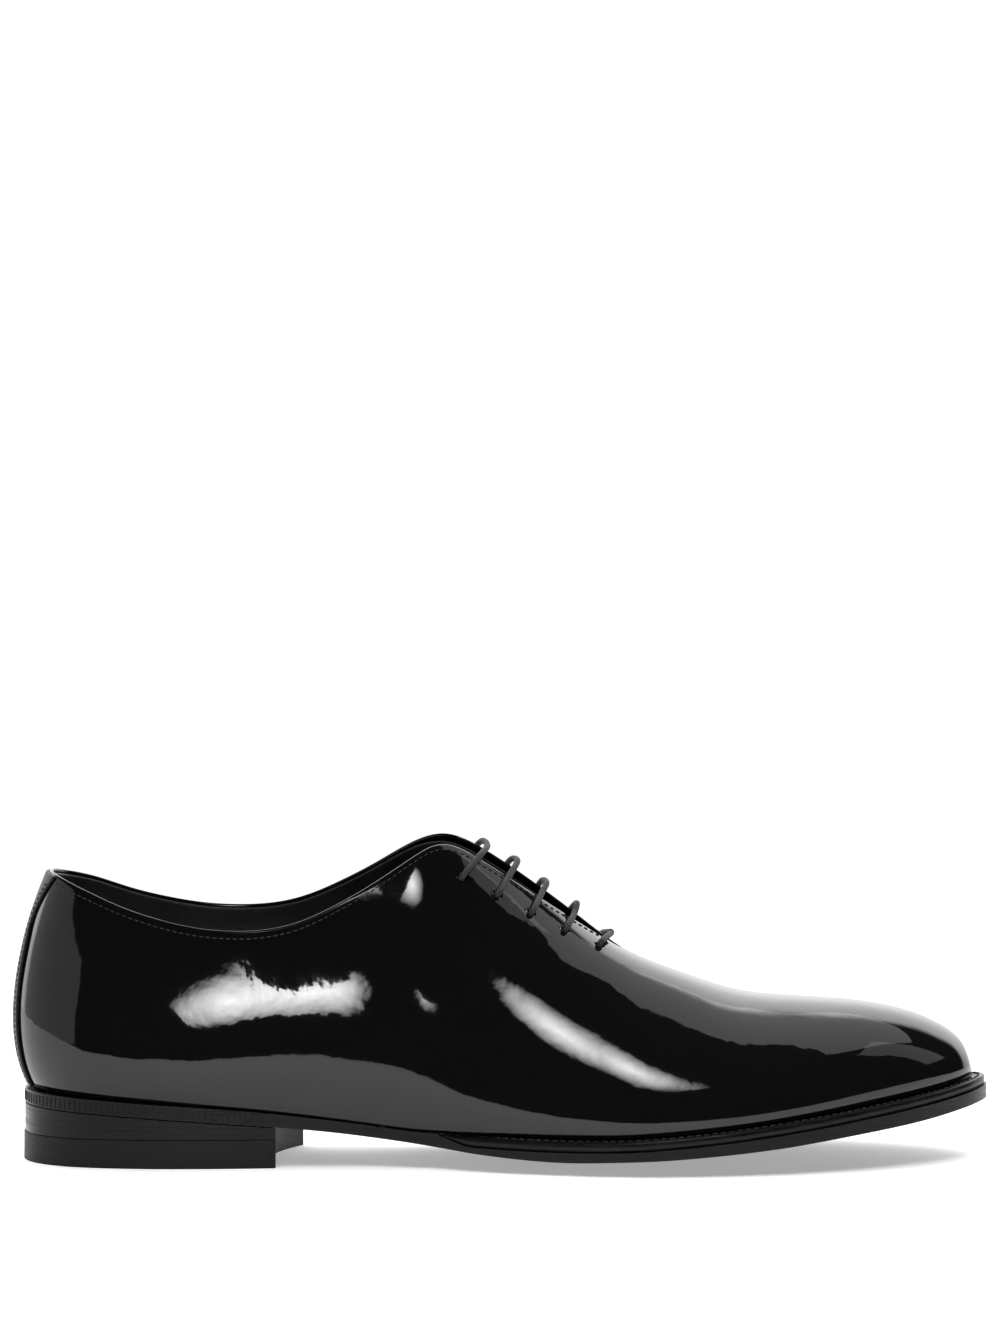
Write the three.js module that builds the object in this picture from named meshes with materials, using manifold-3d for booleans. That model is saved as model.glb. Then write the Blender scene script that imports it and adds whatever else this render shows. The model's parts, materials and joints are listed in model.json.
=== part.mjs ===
// Men's wholecut oxford shoe (right foot), in millimetres.
// +X points to the toe, +Z up, and the lateral side faces -Y. Before the last step the origin is on
// the floor under the back of the heel; the finished group is centred on its bounding box.
import * as THREE from 'three';
import { mergeVertices } from 'three/addons/utils/BufferGeometryUtils.js';
import Module from 'manifold-3d';

// ---- driving dimensions ----
const GAP = 0.3; // air between touching pieces
const UPPER = 1.2; // thickness of the patent leather
const LINING = 0.9;
const STIFFENER = 1.0; // heel counter and toe puff
const STAY = 0.6; // reinforcement under the eyelets
const INSOLE = 2.5;
const SOCK = 1.0;
const WELT = 3.0;
const LASTING_MARGIN = 9; // upper turned under the insole
const THROAT = 0.61; // station where the facings meet
const EYELET_LEVEL = 0.885; // height of the eyelet row on a rib
const EYELET_STATIONS = [0.588, 0.555, 0.523, 0.49, 0.457]; // from the throat up
const EYELET_RADIUS = 1.7;
const LACE_DIAMETER = 2.0;
const HEEL_BREAST = { lateral: 0.281, medial: 0.298, hollow: 6 };
const TOP_PIECE = 8.6;
const LIFTS = 3;
const NAIL = { radius: 0.9, length: 9.2, sunk: 0.5 };
const DEGREES = Math.PI / 180;
const TIP = 0.999; // beyond this station a rib is a single point
const MITRE = 1.1; // inward share of a layer's depth where the wall turns under the insole

// ---- the last: curves over the station t, 0 at the back of the heel and 1 at the toe tip ----
const FEATHER = {
  lateral: [
    [0, 2.2, 0], [0.047, 6.4, -15.5], [0.094, 18, -25.8], [0.156, 38, -30.8], [0.226, 62, -31.3],
    [0.297, 86, -29.8], [0.362, 108, -29.8], [0.415, 126, -32.5], [0.518, 159, -43.2],
    [0.609, 189, -49.8], [0.659, 206, -50], [0.718, 226, -47.3], [0.779, 246, -41.6],
    [0.835, 263, -33.8], [0.882, 277, -25], [0.926, 288.2, -15.3], [0.965, 296, -5.5], [1, 299.6, 5],
  ],
  medial: [
    [0, 2.2, 0], [0.047, 6.4, 15.5], [0.094, 18, 25.3], [0.156, 38, 29.5], [0.226, 62, 28.4],
    [0.297, 86, 25.5], [0.362, 108, 23.7], [0.415, 126, 24.6], [0.518, 160, 33.2],
    [0.609, 191, 41.8], [0.659, 208, 44.3], [0.718, 228, 44.6], [0.779, 247, 41.8],
    [0.835, 263.5, 37], [0.882, 276.8, 31], [0.926, 287.8, 23.2], [0.965, 295.8, 14.4], [1, 299.6, 5],
  ],
};
const TOPLINE = {
  lateral: [
    [0, 7.4, 0, 90.2], [0.047, 10.6, -11, 88.6], [0.094, 19.5, -19, 84.8], [0.156, 37, -25.4, 77.8],
    [0.226, 60, -28.3, 72.6], [0.297, 84, -27.2, 73.8], [0.362, 106, -22.4, 84], [0.415, 124, -15.8, 95.6],
    [0.44, 132, -9.8, 99.8], [0.468, 142, -7.8, 94.9], [0.518, 158, -5.4, 84.6], [0.563, 173, -2.8, 75],
    [0.61, 188.4, 0, 65.8], [0.659, 205, 0.3, 58.9],
  ],
  medial: [
    [0, 7.4, 0, 90.2], [0.047, 10.6, 11, 89.2], [0.094, 19.5, 19, 86.9], [0.156, 36, 25.6, 81.2],
    [0.226, 59, 29.2, 77.1], [0.297, 83, 28, 78.6], [0.362, 105, 21.6, 88.2], [0.415, 123, 12.8, 99],
    [0.44, 132.4, 8.2, 102], [0.468, 142, 7, 98.2], [0.518, 158, 5.2, 88], [0.563, 173, 2.8, 77.2],
    [0.61, 188.4, 0, 65.8], [0.659, 205, 0.3, 58.9],
  ],
};
const RIDGE = [
  [0.563, 173, 0, 75.6], [0.61, 188.4, 0, 65.8], [0.659, 205, 0.3, 58.9], [0.718, 226, 1, 52.3],
  [0.779, 247, 1.8, 50.4], [0.835, 265, 2.8, 48.8], [0.882, 279, 3.6, 45.8], [0.926, 289.6, 4.3, 41.2],
  [0.965, 296.6, 4.8, 35.2], [1, 299.6, 5, 26],
];
// Each rib leaves the feather edge with a lean out from upright, and meets the top line with a slope
// down from level; the lengths say how far each end keeps its direction.
const FOOT_LENGTH = [
  [0, 17], [0.1, 17], [0.23, 16.5], [0.3, 17], [0.36, 18.5], [0.44, 20], [0.52, 19], [0.61, 16.5],
  [0.72, 14], [0.84, 12], [0.926, 8.5], [0.965, 5.3], [1, 0],
];
const FOOT_LEAN = {
  lateral: [
    [0, 35], [0.1, 29], [0.23, 21], [0.36, 15], [0.44, 17], [0.52, 22], [0.61, 25], [0.72, 26],
    [0.84, 26], [0.926, 23], [1, 20],
  ],
  medial: [
    [0, 35], [0.1, 30], [0.23, 28], [0.36, 34], [0.44, 31], [0.52, 27], [0.61, 24], [0.72, 24],
    [0.84, 25], [0.926, 23], [1, 20],
  ],
};
const HEAD_LENGTH = [
  [0, 28], [0.1, 24], [0.23, 19], [0.3, 22], [0.36, 28], [0.44, 31], [0.52, 27], [0.61, 24], [0.72, 24],
  [0.84, 19], [0.926, 9.5], [0.965, 5], [1, 0],
];
const HEAD_SLOPE = [
  [0, 66], [0.1, 72], [0.25, 76], [0.36, 66], [0.44, 46], [0.52, 33], [0.575, 16], [0.61, 0], [1, 0],
];
const SOLE_MARGIN = [
  [0, 2.2], [0.2, 1.6], [0.36, 0.4], [0.42, 0.8], [0.47, 3.2], [0.55, 4.3], [0.72, 4.3], [0.9, 4.2], [1, 4.6],
];

// ---- the sole: heights over x ----
const SEAT_HEIGHT = [
  [0, 22.2], [30, 20.4], [71, 17.5], [100, 14.2], [125, 11.2], [145, 10.6], [170, 10.3], [190, 10.8],
  [215, 12.9], [240, 15.9], [270, 20.2], [290, 23.2], [305, 26],
];
const TREAD_EDGE = [
  [0, 18], [30, 16.3], [60, 14.2], [83, 12.4], [100, 10.7], [127, 7.4], [145, 5.4], [168, 4.1], [188, 4.7],
  [206, 5.6], [234, 8.1], [255, 10.8], [282, 14.4], [305, 18.6],
];
const TREAD_DROP = [
  [0, 0], [60, 0], [83, 0.3], [100, 1], [127, 2.4], [145, 3.4], [168, 4.1], [188, 4.7], [206, 4.7], [234, 3.5],
  [255, 2.7], [282, 1.4], [305, 0.4],
];
const BED_SHARE = 0.6; // share of the tread's drop that the insole and the filler follow

// Smooth curve through rows [parameter, values...], as one array of values.
function curveAt(rows, t) {
  const last = rows.length - 2;
  let i = rows.findIndex((row) => row[0] > t) - 1;
  if (i < 0) i = t < rows[0][0] ? 0 : last;
  const [a, b] = [rows[i], rows[i + 1]];
  const [before, after] = [rows[i - 1] ?? a, rows[i + 2] ?? b];
  const step = b[0] - a[0];
  const s = THREE.MathUtils.clamp((t - a[0]) / step, 0, 1);
  return a.slice(1).map((value, k) => {
    const j = k + 1;
    const slopeA = ((b[j] - before[j]) / (b[0] - before[0])) * step;
    const slopeB = ((after[j] - a[j]) / (after[0] - a[0])) * step;
    const bend = (s - 1) * s;
    const blend = s * s * (3 - 2 * s);
    return value + (b[j] - value) * blend + bend * ((s - 1) * slopeA + s * slopeB);
  });
}

// The heel is one smooth curve from side to side, so each side is continued by the other's first row.
function acrossHeel(own, other) {
  const mirrored = other[1];
  return [[-mirrored[0], ...mirrored.slice(1)], ...own];
}

// The toe is closed the same way.
function acrossToe(own, other) {
  const mirrored = other[other.length - 2];
  return [...own, [2 - mirrored[0], ...mirrored.slice(1)]];
}

const otherSide = { lateral: 'medial', medial: 'lateral' };
const outward = { lateral: -1, medial: 1 };
const feather = {};
const topline = {};
for (const side of ['lateral', 'medial']) {
  const other = otherSide[side];
  feather[side] = acrossToe(acrossHeel(FEATHER[side], FEATHER[other]), FEATHER[other]);
  topline[side] = acrossHeel(TOPLINE[side], TOPLINE[other]);
}

const number = (rows, t) => curveAt(rows, t)[0];
const seatHeight = (x) => number(SEAT_HEIGHT, x);

// Point of the feather edge, moved out by a distance in plan.
function edgePoint(side, t, out = 0) {
  const [x, y] = curveAt(feather[side], t);
  const n = edgeNormal(side, t);
  return new THREE.Vector2(x + n.x * out, y + n.y * out);
}

function edgeNormal(side, t) {
  const h = 0.004;
  const a = curveAt(feather[side], t - h);
  const b = curveAt(feather[side], t + h);
  const n = new THREE.Vector2(a[1] - b[1], b[0] - a[0]).multiplyScalar(outward[side]);
  if (t < 1e-6) n.set(-1, 0);
  if (t > 1 - 1e-6) n.set(1, 0);
  return n.normalize();
}

function topPoint(side, t) {
  const rows = t < THROAT ? topline[side] : RIDGE;
  return new THREE.Vector3(...curveAt(rows, t));
}

// A rib runs from the feather edge (u = 0) up the wall to the top line (u = 1).
function rib(side, t) {
  const edge = edgePoint(side, t);
  const n = edgeNormal(side, t);
  const foot = new THREE.Vector3(edge.x, edge.y, seatHeight(edge.x) + GAP);
  if (t > TIP) return new THREE.CubicBezierCurve3(foot, foot, foot, foot);
  const top = topPoint(side, t);
  const lean = number(FOOT_LEAN[side], t) * DEGREES;
  const slope = Math.max(0, number(HEAD_SLOPE, t)) * DEGREES;
  const footLength = number(FOOT_LENGTH, t);
  const headLength = number(HEAD_LENGTH, t);
  const turn = THREE.MathUtils.smoothstep(t, 0.2, 0.45);
  const flat = new THREE.Vector2(n.x * (1 - turn), n.y * (1 - turn) + outward[side] * turn).normalize();
  const low = new THREE.Vector3(n.x * Math.sin(lean), n.y * Math.sin(lean), Math.cos(lean));
  const high = new THREE.Vector3(flat.x * Math.cos(slope), flat.y * Math.cos(slope), -Math.sin(slope));
  low.multiplyScalar(footLength).add(foot);
  high.multiplyScalar(headLength).add(top);
  return new THREE.CubicBezierCurve3(foot, low, high, top);
}

// Point of the shoe's outer surface, moved inward along the surface's normal.
function wallPoint(side, t, u, depth) {
  const point = rib(side, t).getPoint(u);
  return point.addScaledVector(wallNormal(side, t, u), -depth);
}

function wallNormal(side, t, u) {
  if (t > TIP) return new THREE.Vector3(MITRE, 0, -1);
  const h = 0.002;
  const here = rib(side, t);
  const before = t >= THROAT ? here : rib(side, t - h);
  const along = rib(side, Math.min(t + h, TIP)).getPoint(u).sub(before.getPoint(u));
  const up = here.getPoint(Math.min(1, u + h)).sub(here.getPoint(Math.max(0, u - h)));
  if (t === 0) along.set(0, outward[side], 0);
  if (u === 1 && t >= THROAT) up.set(0, -outward[side], 0);
  return along.cross(up).multiplyScalar(-outward[side]).normalize();
}

// ---- solids from sheets ----
// A sheet is a list of patches; a patch is rows of [face, back] point pairs. Equal pairs are joined,
// and the free edges get a wall between face and back.
function solidFromSheet(patches) {
  const points = [];
  const names = new Map();
  const faces = [];
  const keep = ([face, back]) => {
    const name = [...face.toArray(), ...back.toArray()].map((v) => v.toFixed(2)).join();
    if (!names.has(name)) {
      names.set(name, points.length);
      points.push([face, back]);
    }
    return names.get(name);
  };
  const addFace = (a, b, c) => {
    if (a !== b && b !== c && c !== a) faces.push([a, b, c]);
  };
  for (const rows of patches) {
    const ids = rows.map((row) => row.map(keep));
    for (let i = 0; i + 1 < ids.length; i += 1) {
      for (let j = 0; j + 1 < ids[i].length; j += 1) {
        addFace(ids[i][j], ids[i + 1][j], ids[i + 1][j + 1]);
        addFace(ids[i][j], ids[i + 1][j + 1], ids[i][j + 1]);
      }
    }
  }
  const edges = new Set(faces.flatMap(([a, b, c]) => [`${a},${b}`, `${b},${c}`, `${c},${a}`]));
  const triangles = [];
  const count = points.length;
  for (const [a, b, c] of faces) {
    triangles.push(a, b, c, a + count, c + count, b + count);
    for (const [p, q] of [[a, b], [b, c], [c, a]]) {
      if (!edges.has(`${q},${p}`)) triangles.push(q, p, p + count, q, p + count, q + count);
    }
  }
  const corners = [...points.map((pair) => pair[0]), ...points.map((pair) => pair[1])];
  return closedGeometry(corners, triangles);
}

function closedGeometry(corners, triangles) {
  let volume = 0;
  for (let i = 0; i < triangles.length; i += 3) {
    const [a, b, c] = [corners[triangles[i]], corners[triangles[i + 1]], corners[triangles[i + 2]]];
    volume += a.dot(new THREE.Vector3().crossVectors(b, c));
  }
  const order = volume < 0 ? [...triangles].reverse() : triangles;
  const geometry = new THREE.BufferGeometry();
  geometry.setAttribute('position', new THREE.Float32BufferAttribute(corners.flatMap((p) => p.toArray()), 3));
  geometry.setIndex(order);
  geometry.computeVertexNormals();
  return geometry;
}

// ---- layers of the upper ----
const STATIONS = [
  0, 0.03, 0.06, 0.1, 0.15, 0.2, 0.25, 0.3, 0.35, 0.4, 0.44, 0.48, 0.52, 0.56, 0.6, 0.61,
  0.66, 0.72, 0.78, 0.83, 0.88, 0.92, 0.955, 0.98, 1,
];
const LEVELS = [0.08, 0.2, 0.34, 0.48, 0.62, 0.76, 0.9, 1];
const SIDES = ['lateral', 'medial'];

const between = (list, low, high) => list.filter((value) => value >= low - 1e-9 && value <= high + 1e-9);

// Runs a row maker over both sides; the medial rows are turned round so that all faces agree.
function bothSides(stations, makeRow) {
  return SIDES.map((side) => {
    const rows = stations.map((t) => makeRow(side, t));
    return side === 'lateral' ? rows : rows.map((row) => row.reverse());
  });
}

// A layer between two depths under the outer surface.
function wallRow(side, t, levels, depth, thickness) {
  return levels.map((u) => {
    const start = depth(t, u);
    return [wallPoint(side, t, u, start), wallPoint(side, t, u, start + thickness)];
  });
}

function halfWidth(t) {
  return edgePoint('lateral', t).distanceTo(edgePoint('medial', t)) / 2;
}

// Height of the shoe's bed under the insole: level with the seat at the feather edge, lower inside it.
function bedHeight(x, fromCentre) {
  const across = Math.min(1, Math.abs(fromCentre));
  return seatHeight(x) - BED_SHARE * number(TREAD_DROP, x) * (1 - across * across);
}

function marginPair(side, t, inward) {
  const p = edgePoint(side, t, -inward);
  const z = bedHeight(p.x, 1 - inward / Math.max(halfWidth(t), inward)) + GAP;
  return [new THREE.Vector3(p.x, p.y, z), new THREE.Vector3(p.x, p.y, z + UPPER)];
}

function turnPair(side, t) {
  const face = edgePoint(side, t);
  const back = edgePoint(side, t, -UPPER * MITRE);
  const z = seatHeight(face.x) + GAP;
  return [new THREE.Vector3(face.x, face.y, z), new THREE.Vector3(back.x, back.y, z + UPPER)];
}

function makeUpper() {
  return solidFromSheet(bothSides(STATIONS, (side, t) => [
    marginPair(side, t, LASTING_MARGIN),
    marginPair(side, t, LASTING_MARGIN / 2),
    turnPair(side, t),
    ...(t > TIP ? LEVELS.map(() => turnPair(side, t)) : wallRow(side, t, LEVELS, () => 0, UPPER)),
  ]));
}

const ramp = THREE.MathUtils.smoothstep;

// The lining lies against the upper, and steps in behind the heel counter, toe puff and eyelet stays.
function liningDepth(t, u) {
  const heel = (1 - ramp(t, 0.25, 0.35)) * (1 - ramp(u, 0.62, 0.9));
  const toe = ramp(t, 0.78, 0.83);
  const eyelets = ramp(t, 0.4, 0.44) * ramp(u, 0.62, 0.76);
  return UPPER + GAP + (STIFFENER + GAP) * Math.max(heel, toe) + (STAY + GAP) * (t < THROAT ? eyelets : 0);
}

function makeQuarterLining() {
  const stations = between(STATIONS, 0, 0.6);
  return solidFromSheet(bothSides(stations, (side, t) => wallRow(side, t, LEVELS, liningDepth, LINING)));
}

function makeVampLining() {
  const stations = between(STATIONS, 0.61, 0.955);
  return solidFromSheet(bothSides(stations, (side, t) => wallRow(side, t, LEVELS, liningDepth, LINING)));
}

function makeStiffener(low, high, levels) {
  const depth = () => UPPER + GAP;
  const stations = between(STATIONS, low, high);
  return solidFromSheet(bothSides(stations, (side, t) => wallRow(side, t, levels, depth, STIFFENER)));
}

function makeEyeletStay(side) {
  const depth = () => UPPER + GAP;
  const levels = between(LEVELS, 0.76, 1);
  const rows = bothSides(between(STATIONS, 0.44, 0.6), (which, t) => wallRow(which, t, levels, depth, STAY));
  return solidFromSheet([rows[SIDES.indexOf(side)]]);
}

function makeHeelGrip() {
  const depth = (t, u) => liningDepth(t, u) + LINING + GAP;
  const stations = between(STATIONS, 0, 0.15);
  const levels = between(LEVELS, 0.34, 0.9);
  return solidFromSheet(bothSides(stations, (side, t) => wallRow(side, t, levels, depth, 0.8)));
}

// ---- sole plates ----
// A plate is laid out on chords from the lateral to the medial edge. The columns run from -1 to 1.
function plateRows(chords, columns, margin, top, bottom) {
  return chords.map(([tLateral, tMedial, hollow]) => {
    const out = margin(tLateral);
    const a = edgePoint('lateral', tLateral, out);
    const b = edgePoint('medial', tMedial, out);
    const reach = halfWidth(tLateral);
    return columns.map((w) => {
      const x = THREE.MathUtils.lerp(a.x, b.x, (w + 1) / 2) - hollow * (1 - w * w);
      const y = THREE.MathUtils.lerp(a.y, b.y, (w + 1) / 2);
      const across = reach > 0 ? (w * (reach + out)) / reach : 1;
      return [new THREE.Vector3(x, y, top(x, across)), new THREE.Vector3(x, y, bottom(x, across))];
    });
  });
}
const COLUMNS = [-1, -0.75, -0.4, 0, 0.4, 0.75, 1];
const straightRows = (low, high) => between(STATIONS, low, high).map((t) => [t, t, 0]);
const soleMargin = (t) => number(SOLE_MARGIN, t);

function makePlate(rows, columns, margin, top, bottom) {
  return solidFromSheet([plateRows(rows, columns, margin, top, bottom)]);
}

// A flat layer of the bed, between two heights above the seat, inset from the feather edge.
function makeBedLayer(low, high, inset, base, thickness, columns = COLUMNS) {
  const top = (x, w) => bedHeight(x, w) + base + thickness;
  const bottom = (x, w) => bedHeight(x, w) + base;
  return makePlate(straightRows(low, high), columns, () => -inset, top, bottom);
}

const INSOLE_BASE = GAP + UPPER + GAP;
const FILLER_INSET = LASTING_MARGIN + 1;

function treadHeight(x, across) {
  const w = Math.min(1, Math.abs(across));
  return Math.max(0, number(TREAD_EDGE, x) - number(TREAD_DROP, x) * (1 - w * w));
}

// The outsole's upper face: the full seat under the heel and waist, a welt's thickness lower in front.
function outsoleTop(x, across) {
  return bedHeight(x, across) - (WELT + GAP) * ramp(x, 128, 142);
}

function makeOutsole() {
  return makePlate(straightRows(0, 1), COLUMNS, soleMargin, outsoleTop, treadHeight);
}

function makeWelt() {
  const stations = between(STATIONS, 0.48, 1);
  const strip = (side, t) => [-LASTING_MARGIN + 1, -3, soleMargin(t) - 0.8].map((out) => {
    const p = edgePoint(side, t, out);
    const z = bedHeight(p.x, 1 + out / Math.max(halfWidth(t), LASTING_MARGIN));
    return [new THREE.Vector3(p.x, p.y, z), new THREE.Vector3(p.x, p.y, z - WELT)];
  });
  return solidFromSheet(bothSides(stations, strip));
}

function makeFiller() {
  const top = (x, w) => bedHeight(x, w) + INSOLE_BASE - GAP;
  const bottom = (x, w) => outsoleTop(x, w) + GAP;
  return makePlate(straightRows(0.52, 0.955), COLUMNS, () => -FILLER_INSET, top, bottom);
}

function makeShank() {
  const rows = between(STATIONS, 0.15, 0.4).map((t) => {
    const centre = edgePoint('lateral', t).x;
    return [-7, 7].map((y) => {
      const low = new THREE.Vector3(centre, y, bedHeight(centre, 0) + GAP);
      return [low.clone().setZ(low.z + UPPER), low];
    });
  });
  return solidFromSheet([rows]);
}

// ---- heel ----
// Rows of a heel piece: the last one curves in along the hollow breast.
function heelRows() {
  const shares = [0, 0.1, 0.2, 0.35, 0.55, 0.75, 0.9, 1];
  return shares.map((share) => [
    share * HEEL_BREAST.lateral, share * HEEL_BREAST.medial, HEEL_BREAST.hollow * ramp(share, 0.5, 1) ]);
}

const seatUnderside = (x) => treadHeight(x, 1) - GAP;
const liftLevel = (x, share) => TOP_PIECE + GAP + (seatUnderside(x) - TOP_PIECE - GAP) * share;

function makeLift(index) {
  const top = (x) => liftLevel(x, (index + 1) / LIFTS) - (index + 1 < LIFTS ? GAP : 0);
  const bottom = (x) => liftLevel(x, index / LIFTS);
  return makePlate(heelRows(), COLUMNS, soleMargin, top, bottom);
}

function makeTopPiece() {
  return makePlate(heelRows(), COLUMNS, (t) => soleMargin(t) + 0.3, () => TOP_PIECE, () => 0);
}

// ---- tongue ----
// It lies under the facings and the lace, rises to the vamp at its stitched base, and bridges the gap.
const TONGUE_DEPTH = 6.2;
const TONGUE_BASE_DEPTH = 3.2;
const TONGUE = 1;
function makeTongueLayer(extra, thickness) {
  const stations = between(STATIONS, 0.44, 0.66);
  const levels = [0.7, 0.8, 0.9, 1];
  const rows = stations.map((t) => {
    const depth = THREE.MathUtils.lerp(TONGUE_DEPTH, TONGUE_BASE_DEPTH, ramp(t, 0.6, 0.66)) + extra;
    const pairs = (side, list) => list.map((u) => [
      wallPoint(side, t, u, depth), wallPoint(side, t, u, depth + thickness)]);
    return [...pairs('lateral', levels), ...pairs('medial', [...levels].reverse())];
  });
  return solidFromSheet([rows]);
}

// ---- back strip ----
// A strip over the heel seam, sewn on outside the upper, with a wider tab at the top.
const STRIP = 0.8;
const STRIP_WIDTH = [[0, 0.03], [0.35, 0.028], [0.72, 0.024], [0.82, 0.022], [0.93, 0.034], [1, 0.046]];
function makeBackStrip() {
  const levels = [0.03, 0.15, 0.3, 0.45, 0.6, 0.72, 0.82, 0.93, 1];
  const rows = levels.map((u) => {
    const width = number(STRIP_WIDTH, u);
    const pair = (side, t) => [wallPoint(side, t, u, -GAP - STRIP), wallPoint(side, t, u, -GAP)];
    return [pair('lateral', width), pair('lateral', width / 2), pair('lateral', 0),
      pair('medial', width / 2), pair('medial', width)];
  });
  return solidFromSheet([rows]);
}

// ---- lace ----
// One cord: a straight bar over each eyelet pair, short runs under the facings between the bars, and
// both ends tucked into the shoe. Each bar has [x, z] of its crest over the tongue and the stations by
// which its shoulders on the facing edges lie ahead of the eyelets.
const BARS = [
  [185, 70.5, 0.008], [174.2, 79.6, 0.006], [164.6, 86.2, 0.007], [155.4, 93.2, 0.01], [145.9, 98, 0.014],
];
const LACE_INSIDE = 4.75;
const LACE_OUTSIDE = -1.6;
const TUCKED_LATERAL = [
  [231, -10, 20.2], [221, -14, 18.4], [210, -16, 17.1], [199, -15, 16.2], [188, -12, 15.1], [177, -11, 14.8],
  [166, -13, 15], [155, -17, 15.4], [147, -21, 16.8], [142, -24.5, 21], [140, -26.5, 28], [139.5, -27, 38],
  [139, -27, 48], [138.6, -26.4, 58],
];
const TUCKED_MEDIAL = [
  [139, 23.6, 60], [139.6, 24.6, 50], [140, 25, 40], [141, 24.4, 29], [143, 22, 21.5], [148, 18, 17],
  [156, 14, 15.4], [167, 10.5, 14.9], [178, 9, 14.9], [189, 10, 15.3], [200, 13, 16], [211, 16, 17.2],
  [222, 17, 19],
];

// Parameter steps follow the route's points, so each point carries one ring of the swept section.
class Route extends THREE.CatmullRomCurve3 {
  getPointAt(u) {
    return this.getPoint(u);
  }

  getTangentAt(u) {
    return this.getTangent(u);
  }
}

function barPoints(i, from, to) {
  const t = EYELET_STATIONS[i];
  const hole = (side, depth) => wallPoint(side, t, EYELET_LEVEL, depth);
  const [x, z, ahead] = BARS[i];
  const shoulder = (side) => wallPoint(side, t + ahead, 1, LACE_OUTSIDE - 0.4);
  return [
    hole(from, LACE_INSIDE), hole(from, 1.6), hole(from, LACE_OUTSIDE), shoulder(from),
    new THREE.Vector3(x, 0.5, z),
    shoulder(to), hole(to, LACE_OUTSIDE), hole(to, 1.6), hole(to, LACE_INSIDE),
  ];
}

function laceRoute() {
  const underFacing = [[0.475, 0.72], [0.51, 0.79], [0.55, 0.8], [0.577, 0.82]].map(([t, u]) => (
    wallPoint('lateral', t, u, LACE_INSIDE)));
  const list = (rows) => rows.map((row) => new THREE.Vector3(...row));
  return [
    ...list(TUCKED_LATERAL), ...underFacing,
    ...barPoints(0, 'lateral', 'medial'), ...barPoints(1, 'medial', 'lateral'),
    ...barPoints(2, 'lateral', 'medial'), ...barPoints(3, 'medial', 'lateral'),
    ...barPoints(4, 'lateral', 'medial'),
    wallPoint('medial', 0.462, 0.72, LACE_INSIDE), ...list(TUCKED_MEDIAL),
  ];
}

function makeLace() {
  const route = laceRoute();
  const section = new THREE.Shape().absarc(0, 0, LACE_DIAMETER / 2, 0, 2 * Math.PI);
  return new THREE.ExtrudeGeometry(section, {
    steps: route.length - 1, curveSegments: 4, bevelEnabled: false, extrudePath: new Route(route),
  });
}

// A stiff end sleeve that carries the lace's last direction on.
const AGLET = { radius: 1.15, length: 14 };
function makeAglet(end, before) {
  const direction = end.clone().sub(before).normalize();
  const geometry = new THREE.CylinderGeometry(AGLET.radius, AGLET.radius, AGLET.length, 8);
  geometry.applyQuaternion(new THREE.Quaternion().setFromUnitVectors(new THREE.Vector3(0, 1, 0), direction));
  const centre = end.clone().addScaledVector(direction, GAP + AGLET.length / 2);
  return geometry.translate(...centre.toArray());
}

// ---- cut holes ----
const wasm = await Module();
wasm.setup();

function toManifold(geometry) {
  const bare = geometry.clone();
  bare.deleteAttribute('normal');
  bare.deleteAttribute('uv');
  const merged = mergeVertices(bare, 1e-4);
  return new wasm.Manifold(new wasm.Mesh({
    numProp: 3, vertProperties: new Float32Array(merged.attributes.position.array),
    triVerts: new Uint32Array(merged.index.array),
  }));
}

function cut(geometry, tools) {
  const solid = tools.reduce((rest, tool) => rest.subtract(toManifold(tool)), toManifold(geometry));
  const mesh = solid.getMesh();
  const result = new THREE.BufferGeometry();
  result.setAttribute('position', new THREE.BufferAttribute(mesh.vertProperties, 3));
  result.setIndex(new THREE.BufferAttribute(mesh.triVerts, 1));
  result.computeVertexNormals();
  return result;
}

function rod(from, to, radius) {
  const span = to.clone().sub(from);
  const geometry = new THREE.CylinderGeometry(radius, radius, span.length(), 8);
  const upright = new THREE.Vector3(0, 1, 0);
  const turn = new THREE.Quaternion().setFromUnitVectors(upright, span.clone().normalize());
  return geometry.applyQuaternion(turn).translate(...from.clone().add(to).multiplyScalar(0.5).toArray());
}

const eyeletPunches = (sides) => sides.flatMap((side) => EYELET_STATIONS.map((t) => (
  rod(wallPoint(side, t, EYELET_LEVEL, -3), wallPoint(side, t, EYELET_LEVEL, 5), EYELET_RADIUS))));

const NAIL_PLACES = [[8, 0], [16, -18], [16, 18], [34, -23], [34, 22], [54, -23], [54, 20]];
const nailRods = (radius, low, high) => NAIL_PLACES.map(([x, y]) => (
  rod(new THREE.Vector3(x, y, low), new THREE.Vector3(x, y, high), radius)));
const nailHoles = () => nailRods(NAIL.radius + GAP, -1, NAIL.sunk + NAIL.length + GAP);

// ---- assembly ----
const group = new THREE.Group();
function addPart(name, geometry, colour, roughness, metalness = 0) {
  const material = new THREE.MeshStandardMaterial({ color: colour, roughness, metalness });
  const mesh = new THREE.Mesh(geometry, material);
  mesh.name = name;
  group.add(mesh);
}

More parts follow.
